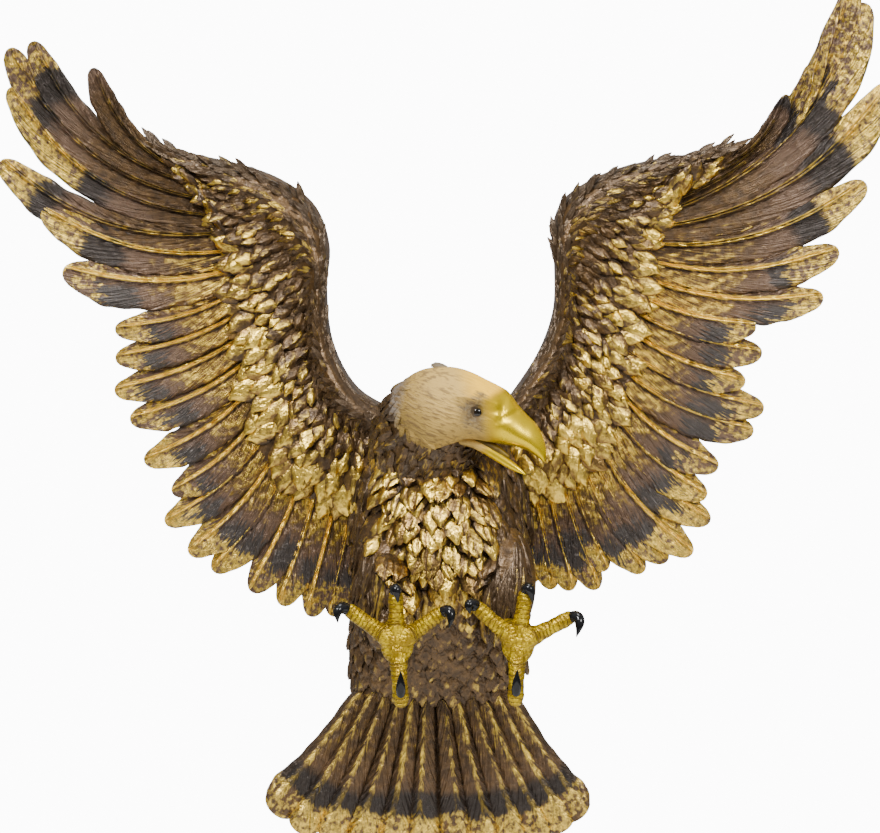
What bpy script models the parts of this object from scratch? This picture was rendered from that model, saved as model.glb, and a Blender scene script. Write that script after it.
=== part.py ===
"""Wall sculpture of a spread-winged eagle, cast in resin as one piece.

Metres, +Z up. The wall is the plane Y = 0 and the eagle looks out along -Y. The origin is on the
flat of the back, behind the shoulders. The pose is written in pose millimetres: X to the viewer's
right, depth out from the wall, Z up, for an eagle POSE_SPAN wide, and is scaled to WING_SPAN.
"""

import math

import bmesh
import bpy
from mathutils import Vector

# Driving sizes
WING_SPAN = 0.712
RELIEF_DEPTH = 0.168
FLIGHT_FEATHER_THICKNESS = 0.0085
TAIL_FEATHER_THICKNESS = 0.0085
SCALE_FEATHER_THICKNESS = 0.0075
HANGING_SLOT_WIDTH = 0.022
HANGING_SLOT_HEIGHT = 0.034
HANGING_SLOT_DEPTH = 0.012
HANGING_SLOT_RISE = 0.010

# Size of the eagle that the pose numbers below are written for, in pose millimetres
POSE_SPAN = 712.0
POSE_DEPTH = 168.0

OUT_OF_WALL = Vector((0.0, -1.0, 0.0))

# Colour, roughness and metallic value of the antique gold paint
CASTING_COLOUR = (0.30, 0.19, 0.08, 1.0)
CASTING_ROUGHNESS = 0.42
CASTING_METALLIC = 0.75


def scale():
    """Metres for one pose millimetre across the wall."""
    return WING_SPAN / POSE_SPAN


def depth_scale():
    """Metres for one pose millimetre out of the wall."""
    return RELIEF_DEPTH / POSE_DEPTH


def at(x, depth, z):
    """The place in metres of a pose point."""
    return Vector((x * scale(), -depth * depth_scale(), z * scale()))


def along(points, t):
    """A smooth curve through evenly timed points: its value at t, from 0 at the first to 1 at the last."""
    last = len(points) - 1
    position = min(max(t, 0.0), 1.0) * last
    i = min(int(position), last - 1)
    f = position - i
    before = points[max(i - 1, 0)]
    here = points[i]
    after = points[i + 1]
    beyond = points[min(i + 2, last)]
    value = []
    for a, b, c, d in zip(before, here, after, beyond):
        square = 2 * a - 5 * b + 4 * c - d
        cube = 3 * b - a - 3 * c + d
        value.append(0.5 * (2 * b + (c - a) * f + square * f ** 2 + cube * f ** 3))
    return tuple(value)


def solid_from(name, points, faces):
    """A closed mesh object, hidden from the render because it is only joined into the casting."""
    mesh = bpy.data.meshes.new(name)
    mesh.from_pydata(points, [], faces)
    mesh.update()
    solid = bpy.data.objects.new(name, mesh)
    carvings.objects.link(solid)
    solid.hide_render = True
    solid.display_type = "WIRE"
    return solid


def loft(name, rings):
    """A closed solid through rings of points. A ring of one point closes that end as a tip."""
    points = []
    starts = []
    for ring in rings:
        starts.append(len(points))
        points.extend(ring)
    faces = []
    for k in range(len(rings) - 1):
        n, m = len(rings[k]), len(rings[k + 1])
        a, b = starts[k], starts[k + 1]
        count = max(n, m)
        for i in range(count):
            j = (i + 1) % count
            corners = [a + i % n, a + j % n, b + j % m, b + i % m]
            faces.append([c for p, c in enumerate(corners) if c not in corners[:p]])
    if len(rings[0]) > 2:
        faces.append(list(range(starts[0], starts[0] + len(rings[0])))[::-1])
    if len(rings[-1]) > 2:
        faces.append(list(range(starts[-1], starts[-1] + len(rings[-1]))))
    volume = 0.0
    for face in faces:
        for i in range(1, len(face) - 1):
            a, b, c = (points[face[q]] for q in (0, i, i + 1))
            volume += a.dot(b.cross(c))
    if volume < 0:
        faces = [face[::-1] for face in faces]
    return solid_from(name, points, faces)


def oval(centre, across, up, sides):
    """A ring of points round centre, with half axes across and up."""
    turns = [2 * math.pi * i / sides for i in range(sides)]
    return [centre + across * math.cos(a) + up * math.sin(a) for a in turns]


def tube(name, centres, radii, sides, flat=1.0, tip=False):
    """A round limb through centres, in metres. flat squeezes it towards the wall."""
    rings = []
    for i, centre in enumerate(centres):
        ahead = centres[min(i + 1, len(centres) - 1)] - centres[max(i - 1, 0)]
        across = ahead.cross(Vector((0.31, 0.12, 0.94)) if abs(ahead.normalized().z) < 0.8 else OUT_OF_WALL)
        across.normalize()
        up = across.cross(ahead).normalized()
        if tip and i == len(centres) - 1:
            rings.append([centre])
        else:
            rings.append(oval(centre, across * radii[i], up * radii[i] * flat, sides))
    return loft(name, rings)


def limb(name, line, radii, sides, flat=1.0, tip=False):
    """A tube through pose points, with its radii in pose millimetres."""
    return tube(name, [at(*p) for p in line], [r * scale() for r in radii], sides, flat, tip)


# Outline of a feather: how far along the vane, and the share of its full half width there
FLIGHT_OUTLINE = ((0.0, 0.62), (0.42, 0.96), (0.76, 1.0), (0.94, 0.68), (1.0, 0.0))
SCALE_OUTLINE = ((0.0, 0.60), (0.55, 1.0), (1.0, 0.0))


def feather(name, root, tip, bow, half_width, thickness, outline, upper_side, tilt=0.16, facing=OUT_OF_WALL):
    """A vane from root to tip, bowed sideways, with a raised quill line and one edge tucked back.

    bow is the sideways bulge as a share of the length, towards the side away from upper_side.
    upper_side is +1 or -1: the side, seen along the vane, whose edge lies under the next feather.
    """
    length = (tip - root).length
    side_of_chord = facing.cross(tip - root).normalized() * upper_side
    control = (root + tip) / 2 - side_of_chord * (2 * bow * length)
    rings = []
    for u, share in outline:
        place = root * (1 - u) ** 2 + control * (2 * u * (1 - u)) + tip * u ** 2
        if share == 0.0:
            rings.append([place])
            continue
        heading = (control - root) * (1 - u) + (tip - control) * u
        side = facing.cross(heading).normalized() * upper_side
        side = side * math.cos(tilt) - facing * math.sin(tilt)
        lift = facing * thickness
        rings.append(
            [
                place + side * half_width * share,
                place + lift * 0.55,
                place - side * half_width * share,
                place - lift * 0.45,
            ]
        )
    return loft(name, rings)


# Wings

# Leading edge and line of the flight feather roots, from the shoulder out to the hand: (x, z)
LEFT_LEADING_EDGE = (
    (-30, 30), (-65, 50), (-85, 86), (-90, 128), (-88, 164), (-100, 196),
    (-128, 217), (-162, 229), (-195, 236), (-222, 243), (-240, 251),
)
LEFT_ROOT_LINE = (
    (-70, -44), (-98, -36), (-120, -27), (-136, -6), (-147, 28), (-155, 62),
    (-159, 96), (-161, 128), (-166, 160), (-177, 188), (-196, 212),
)
RIGHT_LEADING_EDGE = (
    (44, 30), (60, 50), (79, 80), (90, 112), (91, 146), (89, 174),
    (99, 201), (131, 221), (170, 232), (208, 238), (250, 250),
)
RIGHT_ROOT_LINE = (
    (66, -34), (90, -24), (110, -12), (126, 2), (141, 28), (152, 62),
    (161, 98), (163, 132), (168, 164), (186, 192), (216, 218),
)

# Flight feathers, from the leading primary down to the innermost: tip x, tip z and share of full width.
LEFT_TIPS = (
    (-274, 304, 0.68), (-321, 326, 0.95), (-340, 320, 1.02), (-341, 286, 0.98), (-349, 228, 1.00),
    (-315, 190, 1.05), (-299, 143, 1.20), (-258, 96, 0.84), (-258, 73, 0.90), (-259, 47, 0.96),
    (-247, 24, 1.00), (-236, -9, 0.98), (-214, -34, 0.96), (-220, -58, 0.92), (-201, -83, 1.04),
    (-182, -97, 1.00), (-151, -114, 1.02), (-127, -125, 0.98), (-104, -134, 0.98), (-86, -134, 0.94),
)
RIGHT_TIPS = (
    (272, 288, 0.46), (290, 312, 0.46), (301, 328, 0.50), (324, 368, 1.18), (337, 354, 1.35),
    (359, 286, 1.18), (338, 211, 1.08), (318, 158, 1.06), (306, 120, 1.06), (251, 98, 0.96),
    (256, 77, 1.00), (243, 54, 0.96), (258, 33, 1.00), (250, 15, 1.00), (222, -14, 1.04),
    (213, -37, 1.04), (216, -57, 1.00), (202, -83, 1.02), (182, -89, 0.96), (163, -98, 0.98),
    (133, -97, 0.94), (126, -112, 0.90), (105, -113, 0.88), (90, -112, 0.84), (75, -107, 0.84),
)

# Half width of a flight feather at a width share of 1, in pose millimetres
FLIGHT_HALF_WIDTH = 15.5

# Sideways bow of the flight feathers, from the leading primary to the innermost
FLIGHT_BOWS = ((0.13,), (0.15,), (0.10,), (0.07,), (0.09,), (0.09,), (0.04,), (0.0,))

# Depth of the middle of the wing, from the shoulder to the hand, and how thick the arm is there
WING_MIDDLE_DEPTHS = ((26,), (30,), (36,), (38,), (36,))
ARM_HEIGHTS = ((34,), (29,), (24,), (19,), (9,))

# How much further out from the wall than its root a flight feather's tip is, leading primary to innermost
TIP_ADVANCE = ((26,), (16,), (4,), (-4,), (-8,))

# Section of the wing from the leading edge to the feather roots and back: share across, share of arm height
WING_SECTION = (
    (0.0, 0.0), (0.05, 0.62), (0.17, 1.0), (0.32, 0.55), (0.55, 0.62), (0.80, 0.42),
    (1.06, 0.12), (1.06, -0.22), (0.55, -0.50), (0.12, -0.52),
)
WING_STATIONS = 13


def wing_point(leading_edge, root_line, t, s, height_share):
    """A point of the wing: t from shoulder to hand, s from leading edge to feather roots."""
    ax, az = along(leading_edge, t)
    rx, rz = along(root_line, t)
    depth = along(WING_MIDDLE_DEPTHS, t)[0] + height_share * along(ARM_HEIGHTS, t)[0]
    return at(ax + (rx - ax) * s, depth, az + (rz - az) * s)


def front_share(s):
    """Height of the wing's front at s, as a share of the arm's height there."""
    front = [p for p in WING_SECTION if p[1] >= 0.0]
    for (s0, h0), (s1, h1) in zip(front, front[1:]):
        if s <= s1:
            return h0 + (h1 - h0) * (s - s0) / max(s1 - s0, 1e-6)
    return front[-1][1]


def wing_arm(name, leading_edge, root_line):
    """The fleshy part of the wing, which carries the feathers."""
    rings = []
    for i in range(WING_STATIONS):
        t = i / (WING_STATIONS - 1)
        rings.append([wing_point(leading_edge, root_line, t, s, h) for s, h in WING_SECTION])
    return loft(name, rings)


def flight_feathers(name, leading_edge, root_line, tips, upper_side):
    """The fan of long feathers round the wing's edge."""
    count = len(tips)
    for i, (x, z, share) in enumerate(tips):
        order = i / (count - 1)
        t = 1.0 - order
        root = wing_point(leading_edge, root_line, t, 0.82, 0.0)
        middle_depth = along(WING_MIDDLE_DEPTHS, t)[0]
        tip = at(x, middle_depth + along(TIP_ADVANCE, order)[0], z)
        bow = along(FLIGHT_BOWS, order)[0]
        feather(
            f"{name}_flight_{i}", root, tip, bow, FLIGHT_HALF_WIDTH * share * scale(),
            FLIGHT_FEATHER_THICKNESS, FLIGHT_OUTLINE, upper_side,
        )


# Rows of short feathers over the arm: place across the wing, length, half width, how many
COVERT_ROWS = ((0.30, 32, 11.5, 11), (0.58, 36, 12.5, 10), (0.86, 38, 12.5, 10))
COVERT_LIFT = 0.10


def coverts(name, leading_edge, root_line, upper_side):
    """The overlapping short feathers that hide the roots of the long ones."""
    for row, (s, length, half_width, count) in enumerate(COVERT_ROWS):
        for i in range(count):
            t = (i + 0.35 + 0.3 * (row % 2)) / count
            if t > 0.93:
                continue
            lift = front_share(s)
            root = wing_point(leading_edge, root_line, t, s - 0.12, lift * 0.85)
            ahead = wing_point(leading_edge, root_line, t, s + 0.12, lift * 0.85) - root
            tip = root + ahead.normalized() * length * scale() + OUT_OF_WALL * COVERT_LIFT * length * scale()
            tip.y = min(tip.y, root.y + 0.3 * length * scale())
            feather(
                f"{name}_covert_{row}_{i}", root, tip, 0.0, half_width * scale(),
                SCALE_FEATHER_THICKNESS, SCALE_OUTLINE, upper_side, tilt=0.10,
            )


def wing(name, leading_edge, root_line, tips, upper_side):
    """One wing: its arm, its flight feathers and the short feathers over their roots."""
    wing_arm(name + "_arm", leading_edge, root_line)
    flight_feathers(name, leading_edge, root_line, tips, upper_side)
    coverts(name, leading_edge, root_line, upper_side)


# Body

# Sections of the trunk from the shoulders down to the tail: z, middle x, half width, depth of the front
TRUNK_SECTIONS = (
    (50, -2, 26, 52), (36, 0, 50, 74), (12, 0, 64, 88), (-20, 0, 71, 97), (-60, 0, 74, 100),
    (-98, 0, 73, 94), (-130, -1, 72, 78), (-165, -2, 72, 58), (-200, -4, 67, 40), (-222, -4, 56, 26),
)
TRUNK_SIDES = 9
BACK_INSET = 3.0


def trunk_size(z):
    """Middle x, half width and front depth of the trunk at height z."""
    if z >= TRUNK_SECTIONS[0][0]:
        return TRUNK_SECTIONS[0][1:]
    for upper, lower in zip(TRUNK_SECTIONS, TRUNK_SECTIONS[1:]):
        if z >= lower[0]:
            f = (upper[0] - z) / (upper[0] - lower[0])
            return tuple(a + (b - a) * f for a, b in zip(upper[1:], lower[1:]))
    return TRUNK_SECTIONS[-1][1:]


def trunk_front(x, z):
    """Depth of the trunk's front at x and z."""
    middle, half, depth = trunk_size(z)
    offset = min(abs(x - middle) / half, 0.98)
    return depth * math.sqrt(1 - offset * offset)


def trunk():
    """Breast, belly and rump, flat behind where they meet the wall."""
    rings = []
    for z, middle, half, depth in TRUNK_SECTIONS:
        turns = [math.pi * i / (TRUNK_SIDES - 1) for i in range(TRUNK_SIDES)]
        front = [at(middle + half * math.cos(a), depth * math.sin(a), z) for a in turns]
        back = [at(middle - half * 0.94, -BACK_INSET, z), at(middle + half * 0.94, -BACK_INSET, z)]
        rings.append(front + back)
    return loft("trunk", rings)


# Rows of breast and belly feathers: z of the row, half the row's width, how many, length, half width
BREAST_ROWS = (
    (-14, 34, 4, 34, 11.5), (-34, 46, 5, 34, 11.5), (-55, 40, 4, 34, 11.5), (-76, 46, 5, 32, 11.0),
    (-98, 38, 4, 32, 11.0), (-122, 44, 5, 30, 11.0), (-147, 36, 4, 30, 11.0), (-172, 44, 5, 30, 11.0),
)


def breast_feathers():
    """The overlapping feathers down the front of the trunk."""
    for row, (z, reach, count, length, half_width) in enumerate(BREAST_ROWS):
        for i in range(count):
            x = -reach + 2 * reach * i / (count - 1)
            root = at(x, trunk_front(x, z) - 3.0, z)
            tip = at(x * 1.02, trunk_front(x, z - length) + 3.5, z - length)
            feather(
                f"breast_{row}_{i}", root, tip, 0.0, half_width * scale(), SCALE_FEATHER_THICKNESS,
                SCALE_OUTLINE, 1, tilt=0.06,
            )


# Tail

# Tail feathers from the viewer's left to the right: tip x, tip z. Their roots are on the rump's lower edge.
TAIL_TIPS = (
    (-134, -288), (-114, -305), (-90, -312), (-63, -316), (-37, -318), (-12, -319),
    (13, -319), (38, -317), (62, -314), (83, -309), (101, -301), (115, -287),
)
TAIL_ROOT_HALF_WIDTH = 58.0
TAIL_ROOT_Z = -190.0
TAIL_HALF_WIDTH = 14.5
TAIL_BOW = -0.05
TAIL_ROOT_DEPTH = 24.0
TAIL_TIP_DEPTH = 30.0
TAIL_OUTLINE = ((0.0, 0.5), (0.45, 0.72), (0.86, 1.0), (0.96, 0.78), (1.0, 0.0))


def tail():
    """The spread fan of the tail, its middle feathers nearest the viewer."""
    count = len(TAIL_TIPS)
    for i, (x, z) in enumerate(TAIL_TIPS):
        order = 2 * i / (count - 1) - 1
        root = at(TAIL_ROOT_HALF_WIDTH * order - 4, TAIL_ROOT_DEPTH - 6 * abs(order), TAIL_ROOT_Z)
        tip = at(x, TAIL_TIP_DEPTH - 7 * abs(order), z)
        side = 1 if order > 0 else -1
        feather(
            f"tail_{i}", root, tip, TAIL_BOW * abs(order), TAIL_HALF_WIDTH * scale(), TAIL_FEATHER_THICKNESS,
            TAIL_OUTLINE, side, tilt=0.14,
        )


# Head

# Neck and skull from the shoulders up: x, depth, z, half width, half height
NECK_LINE = ((-6, 58, -2), (-8, 80, 14), (-4, 98, 26), (6, 108, 34))
NECK_RADII = (50, 44, 38, 30)
SKULL = ((6, 112, 35), (41, 32, 32))
JAW = ((22, 114, 22), (30, 24, 17))
BROW = ((34, 116, 33), (26, 24, 19))
HEAD_ROUNDING = (12, 8)

# Upper half of the beak from the forehead to the hook, and the lower half
UPPER_BEAK_LINE = ((38, 118, 26), (52, 121, 23), (64, 124, 15), (73, 126, 5), (79, 127, -1), (81, 127, -7))
UPPER_BEAK_RADII = (19.0, 18.0, 13.5, 9.0, 4.5, 0.0)
LOWER_BEAK_LINE = ((28, 118, 8), (42, 120, 0), (55, 123, -8), (66, 125, -16))
LOWER_BEAK_RADII = (7.0, 6.5, 5.0, 0.0)


def ball(name, centre, radii, rounding):
    """An egg shape with its poles to the left and right. rounding is its sides and its rings."""
    sides, ring_count = rounding
    rings = [[at(centre[0] - radii[0], centre[1], centre[2])]]
    for k in range(1, ring_count):
        a = math.pi * k / ring_count
        middle = at(centre[0] - radii[0] * math.cos(a), centre[1], centre[2])
        size = math.sin(a)
        out = OUT_OF_WALL * radii[1] * size * depth_scale()
        up = Vector((0, 0, radii[2] * size * scale()))
        rings.append(oval(middle, out, up, sides))
    rings.append([at(centre[0] + radii[0], centre[1], centre[2])])
    return loft(name, rings)


def head():
    """Neck, skull and the parted, hooked beak, turned to the viewer's right."""
    limb("neck", NECK_LINE, NECK_RADII, 12, flat=0.85)
    ball("skull", *SKULL, HEAD_ROUNDING)
    ball("jaw", *JAW, HEAD_ROUNDING)
    ball("brow", *BROW, HEAD_ROUNDING)
    limb("upper_beak", UPPER_BEAK_LINE, UPPER_BEAK_RADII, 10, flat=0.8, tip=True)
    limb("lower_beak", LOWER_BEAK_LINE, LOWER_BEAK_RADII, 8, flat=0.8, tip=True)


# Legs and feet

THIGHS = (((-38, 62, -104), (28, 34, 46)), ((52, 62, -104), (26, 34, 46)))
THIGH_ROUNDING = (10, 7)
# Each foot: the middle of its sole, then the end of each toe, hind toe last, then the tip of each talon
LEFT_FOOT = (
    (-33, 130, -148),
    ((-71, 136, -121), (-34, 138, -108), (1, 136, -124), (-32, 136, -193)),
    ((-75, 148, -131), (-31, 150, -112), (4, 148, -136), (-34, 152, -170)),
)
RIGHT_FOOT = (
    (60, 130, -148),
    ((28, 136, -119), (66, 138, -106), (102, 136, -124), (58, 136, -192)),
    ((27, 148, -122), (72, 150, -112), (103, 148, -139), (60, 152, -169)),
)
SHANK_RADII = (13.0, 9.5, 8.5, 10.0)
SOLE_RADII = (15.0, 9.0, 17.0)
SOLE_ROUNDING = (10, 6)
TOE_RADII = (8.0, 6.4, 5.8, 6.0, 4.4)
TALON_RADII = (3.2, 4.4, 2.8, 0.0)
TALON_ROOT = 5.0
TALON_BULGE = 9.0


def toe(name, sole, end, talon_tip):
    """A jointed toe and the hooked talon on its end."""
    start, finish = at(*sole), at(*end)
    places = [start.lerp(finish, f) for f in (0.15, 0.4, 0.62, 0.86, 1.0)]
    for place, rise in zip(places, (0.0, 2.0, 3.0, 2.0, 0.0)):
        place += OUT_OF_WALL * rise * depth_scale()
    tube(name, places, [r * scale() for r in TOE_RADII], 7)
    hook = at(*talon_tip)
    heading = (finish - start).normalized()
    control = finish + (heading * scale() + OUT_OF_WALL * depth_scale()) * TALON_BULGE
    bends = (0.0, 0.35, 0.7, 1.0)
    base = finish - heading * TALON_ROOT * scale()
    line = [base * (1 - f) ** 2 + control * 2 * f * (1 - f) + hook * f * f for f in bends]
    tube(name + "_talon", line, [r * scale() for r in TALON_RADII], 6, tip=True)


def leg(name, thigh, foot):
    """A feathered thigh, the bare shank reaching forward, and the open foot with its sole to the viewer."""
    sole, ends, talons = foot
    ball(name + "_thigh", *thigh, THIGH_ROUNDING)
    (tx, td, tz), _ = thigh
    hock = (tx * 0.9 + sole[0] * 0.1, td + 18, tz - 30)
    line = [at(tx, td, tz - 12), at(*hock), at(*sole).lerp(at(*hock), 0.4), at(sole[0], sole[1] - 4, sole[2])]
    tube(name + "_shank", line, [r * scale() for r in SHANK_RADII], 8)
    ball(name + "_sole", sole, SOLE_RADII, SOLE_ROUNDING)
    for i, (end, talon_tip) in enumerate(zip(ends, talons)):
        toe(f"{name}_toe_{i}", sole, end, talon_tip)


# Cutters

def box_cutter(name, low, high):
    """A hidden box that a Boolean takes away."""
    bpy.ops.mesh.primitive_cube_add(size=1)
    cutter = bpy.context.object
    cutter.name = name
    for vertex in cutter.data.vertices:
        vertex.co = Vector(tuple(high[i] if vertex.co[i] > 0 else low[i] for i in range(3)))
    cutter.hide_render = True
    cutter.display_type = "WIRE"
    return cutter


def wall_plane():
    """Everything behind the wall plane, which leaves the back flat."""
    reach = WING_SPAN
    return box_cutter("wall", (-reach, 0.0, -reach), (reach, reach, reach))


def hanging_slot():
    """The blind pocket in the back that drops over a screw head."""
    half = HANGING_SLOT_WIDTH / 2
    low = (-half, -HANGING_SLOT_DEPTH, HANGING_SLOT_RISE)
    high = (half, HANGING_SLOT_DEPTH, HANGING_SLOT_RISE + HANGING_SLOT_HEIGHT)
    return box_cutter("hanging_slot", low, high)


def antique_gold():
    """Bronze-brown paint rubbed with gold."""
    paint = bpy.data.materials.new("antique_gold")
    paint.use_nodes = True
    shader = paint.node_tree.nodes["Principled BSDF"]
    shader.inputs["Base Color"].default_value = CASTING_COLOUR
    shader.inputs["Roughness"].default_value = CASTING_ROUGHNESS
    shader.inputs["Metallic"].default_value = CASTING_METALLIC
    return paint


def boolean(target, name, operation, operand):
    """A Boolean modifier with one object or one collection. Feathers that cross at a slant leave the
    EXACT solver with pinched edges, so it is MANIFOLD here, and every shape above is closed."""
    modifier = target.modifiers.new(name, "BOOLEAN")
    modifier.operation = operation
    modifier.solver = "MANIFOLD"
    if isinstance(operand, bpy.types.Collection):
        modifier.operand_type = "COLLECTION"
        modifier.collection = operand
    else:
        modifier.object = operand


def fill_sealed_pockets(casting):
    """Applies the joins and drops the inner shells, where feathers close round a small gap."""
    bpy.context.view_layer.objects.active = casting
    for modifier in list(casting.modifiers):
        bpy.ops.object.modifier_apply(modifier=modifier.name)
    shells = []
    shape = bmesh.new()
    shape.from_mesh(casting.data)
    left = set(shape.faces)
    while left:
        shell = []
        front = [left.pop()]
        while front:
            face = front.pop()
            shell.append(face)
            near = {other for edge in face.edges for other in edge.link_faces} & left
            left -= near
            front.extend(near)
        shells.append(shell)
    shells.sort(key=len)
    bmesh.ops.delete(shape, geom=[face for shell in shells[:-1] for face in shell], context="FACES")
    shape.to_mesh(casting.data)
    shape.free()


for old in list(bpy.data.objects):
    bpy.data.objects.remove(old)
carvings = bpy.data.collections.new("carvings")
bpy.context.scene.collection.children.link(carvings)

wing("left_wing", LEFT_LEADING_EDGE, LEFT_ROOT_LINE, LEFT_TIPS, -1)
wing("right_wing", RIGHT_LEADING_EDGE, RIGHT_ROOT_LINE, RIGHT_TIPS, 1)
breast_feathers()
tail()
head()
leg("left_leg", THIGHS[0], LEFT_FOOT)
leg("right_leg", THIGHS[1], RIGHT_FOOT)

eagle = trunk()
carvings.objects.unlink(eagle)
bpy.context.scene.collection.objects.link(eagle)
eagle.name = "eagle"
eagle.hide_render = False
eagle.display_type = "TEXTURED"
eagle.data.materials.append(antique_gold())
boolean(eagle, "join", "UNION", carvings)
fill_sealed_pockets(eagle)
boolean(eagle, "flat back", "DIFFERENCE", wall_plane())
boolean(eagle, "hanging slot", "DIFFERENCE", hanging_slot())
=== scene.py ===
"""Looks of the spread-winged eagle: cast feather relief, antique gold paint, painted head and feet.

Metres in the frame of the casting: the wall is the plane Y = 0, the eagle looks out along -Y, +Z is up.
Places are written in pose millimetres, X to the viewer's right, depth out of the wall and Z up, for an
eagle POSE_WIDTH wide, and are scaled to the casting that the frame holds.
"""

import math
import random

import bpy
import numpy as np
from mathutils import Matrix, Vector


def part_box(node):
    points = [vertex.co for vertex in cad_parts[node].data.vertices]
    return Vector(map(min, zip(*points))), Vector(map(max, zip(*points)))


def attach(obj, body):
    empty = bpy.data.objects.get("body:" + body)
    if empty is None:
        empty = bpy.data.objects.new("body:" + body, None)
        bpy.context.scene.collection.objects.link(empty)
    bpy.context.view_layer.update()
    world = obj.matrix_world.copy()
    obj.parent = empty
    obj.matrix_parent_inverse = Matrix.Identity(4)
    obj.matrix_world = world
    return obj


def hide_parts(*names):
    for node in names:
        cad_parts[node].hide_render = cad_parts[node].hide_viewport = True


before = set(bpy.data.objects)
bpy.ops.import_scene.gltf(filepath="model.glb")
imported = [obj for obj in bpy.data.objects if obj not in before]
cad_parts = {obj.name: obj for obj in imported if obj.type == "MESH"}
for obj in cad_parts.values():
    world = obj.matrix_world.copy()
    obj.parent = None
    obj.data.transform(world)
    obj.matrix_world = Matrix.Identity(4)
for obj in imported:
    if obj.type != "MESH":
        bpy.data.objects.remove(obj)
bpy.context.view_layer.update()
EAGLE_LOW, EAGLE_HIGH = (np.array(corner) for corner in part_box("eagle"))

POSE_WIDTH = 709.85
MM = (EAGLE_HIGH[0] - EAGLE_LOW[0]) / POSE_WIDTH
OUT_OF_WALL = np.array((0.0, -1.0, 0.0))
DOWN = np.array((0.0, 0.0, -1.0))
RIGHT = np.array((1.0, 0.0, 0.0))

# A short feather has no dark band and no gold leaf, so they start beyond its tip, at these shares of its
# length. How much further its band starts says how umber the feather is. The leaf of a long feather starts
# below LONG_BELOW.
SHORT = (2.0, 2.0)
LONG_BELOW = 1.5

# How gold and how proud the plain skin under the feathers is
PLAIN_SKIN = (0.05, 0.45)

random.seed(11)


# Small helpers

def at(x, depth, z):
    """A pose point in metres."""
    return np.array((x, -depth, z), float) * MM


def unit(vector):
    """The vector at length one."""
    return vector / max(np.linalg.norm(vector), 1e-12)


def along(points, t):
    """A smooth curve through evenly timed points: its value at t, from 0 at the first to 1 at the last."""
    table = np.asarray(points, float)
    last = len(table) - 1
    position = min(max(t, 0.0), 1.0) * last
    i = min(int(position), last - 1)
    f = position - i
    a, b, c, d = (table[min(max(i + k, 0), last)] for k in (-1, 0, 1, 2))
    square = 2 * a - 5 * b + 4 * c - d
    cube = 3 * b - a - 3 * c + d
    return 0.5 * (2 * b + (c - a) * f + square * f ** 2 + cube * f ** 3)


def smooth(low, high, value):
    """0 below low, 1 above high, and an S between."""
    f = np.clip((value - low) / (high - low), 0.0, 1.0)
    return f * f * (3 - 2 * f)


def bump(value, middle, width):
    """A round ridge of height 1 at middle."""
    return np.exp(-((value - middle) / width) ** 2)


def pleat(v, count):
    """Broad ridges side by side across a vane: 0 in the sharp valleys, 1 on the ridges."""
    place = (v + 1) / 2 * count
    return smooth(0.0, 0.26, np.abs(place - np.round(place)))


def jitter(share):
    """A random number between -share and share."""
    return random.uniform(-share, share)


def last_first(rows):
    """Rows with their numbers, from the last row to the first, so that upper rows overlap lower ones."""
    return reversed(list(enumerate(rows)))


def staggered(i, row, count):
    """Where feather i of a row lies across it, from -1 to 1. Every other row is moved by half a feather."""
    return 2 * (i + 0.25 + 0.5 * (row % 2)) / count - 1


def deselect():
    """Nothing is selected, so that an operator acts on new geometry alone."""
    if bpy.context.object and bpy.context.object.mode != "OBJECT":
        bpy.ops.object.mode_set(mode="OBJECT")
    bpy.ops.object.select_all(action="DESELECT")


def finish_by_hand(name):
    """Ends work on the active object: closed outwards, its place put into its mesh, smooth."""
    bpy.ops.object.mode_set(mode="EDIT")
    bpy.ops.mesh.select_all(action="SELECT")
    bpy.ops.mesh.normals_make_consistent(inside=False)
    bpy.ops.object.mode_set(mode="OBJECT")
    bpy.ops.object.transform_apply(location=True, rotation=True, scale=True)
    bpy.ops.object.shade_smooth()
    piece = bpy.context.object
    piece.name = name
    return piece


def modify(piece, kind, **settings):
    """Adds a modifier to a piece and applies it."""
    modifier = piece.modifiers.new(kind.lower(), kind)
    for key, value in settings.items():
        setattr(modifier, key, value)
    bpy.context.view_layer.objects.active = piece
    bpy.ops.object.modifier_apply(modifier=modifier.name)


def join(name, parts):
    """Several objects made one."""
    deselect()
    for part in parts:
        part.select_set(True)
    bpy.context.view_layer.objects.active = parts[0]
    bpy.ops.object.join()
    piece = bpy.context.object
    piece.name = name
    return piece


def draw_out(name, rings, sides):
    """A closed limb: a disc is drawn out ring by ring, each moved, turned and resized to its place."""
    deselect()
    centre, heading, radius = rings[0]
    facing = Vector(heading).to_track_quat("Z", "Y").to_euler()
    bpy.ops.mesh.primitive_circle_add(
        vertices=sides, radius=radius, fill_type="NGON", location=centre, rotation=facing,
    )
    bpy.ops.object.mode_set(mode="EDIT")
    for next_centre, next_heading, next_radius in rings[1:]:
        bpy.ops.mesh.extrude_region_move(TRANSFORM_OT_translate={"value": next_centre - centre})
        turn = Vector(heading).rotation_difference(Vector(next_heading)).to_euler("XYZ")
        for axis, angle in zip("XYZ", turn):
            bpy.ops.transform.rotate(value=-angle, orient_axis=axis, center_override=next_centre)
        bpy.ops.transform.resize(value=[next_radius / radius] * 3, center_override=next_centre)
        centre, heading, radius = next_centre, next_heading, next_radius
    piece = finish_by_hand(name)
    modify(piece, "SUBSURF", levels=1, render_levels=1)
    return piece


def limb_rings(line, radii, count, swelling=None):
    """Rings along a smooth pose line. swelling gives a share added to the radius at a place along it."""
    rings = []
    for k in range(count):
        t = k / (count - 1)
        heading = unit(at(*along(line, min(t + 0.02, 1.0))) - at(*along(line, max(t - 0.02, 0.0))))
        radius = along(radii, t)[0] * MM * (1 + (swelling(t) if swelling else 0.0))
        rings.append((at(*along(line, t)), heading, radius))
    return rings


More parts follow.
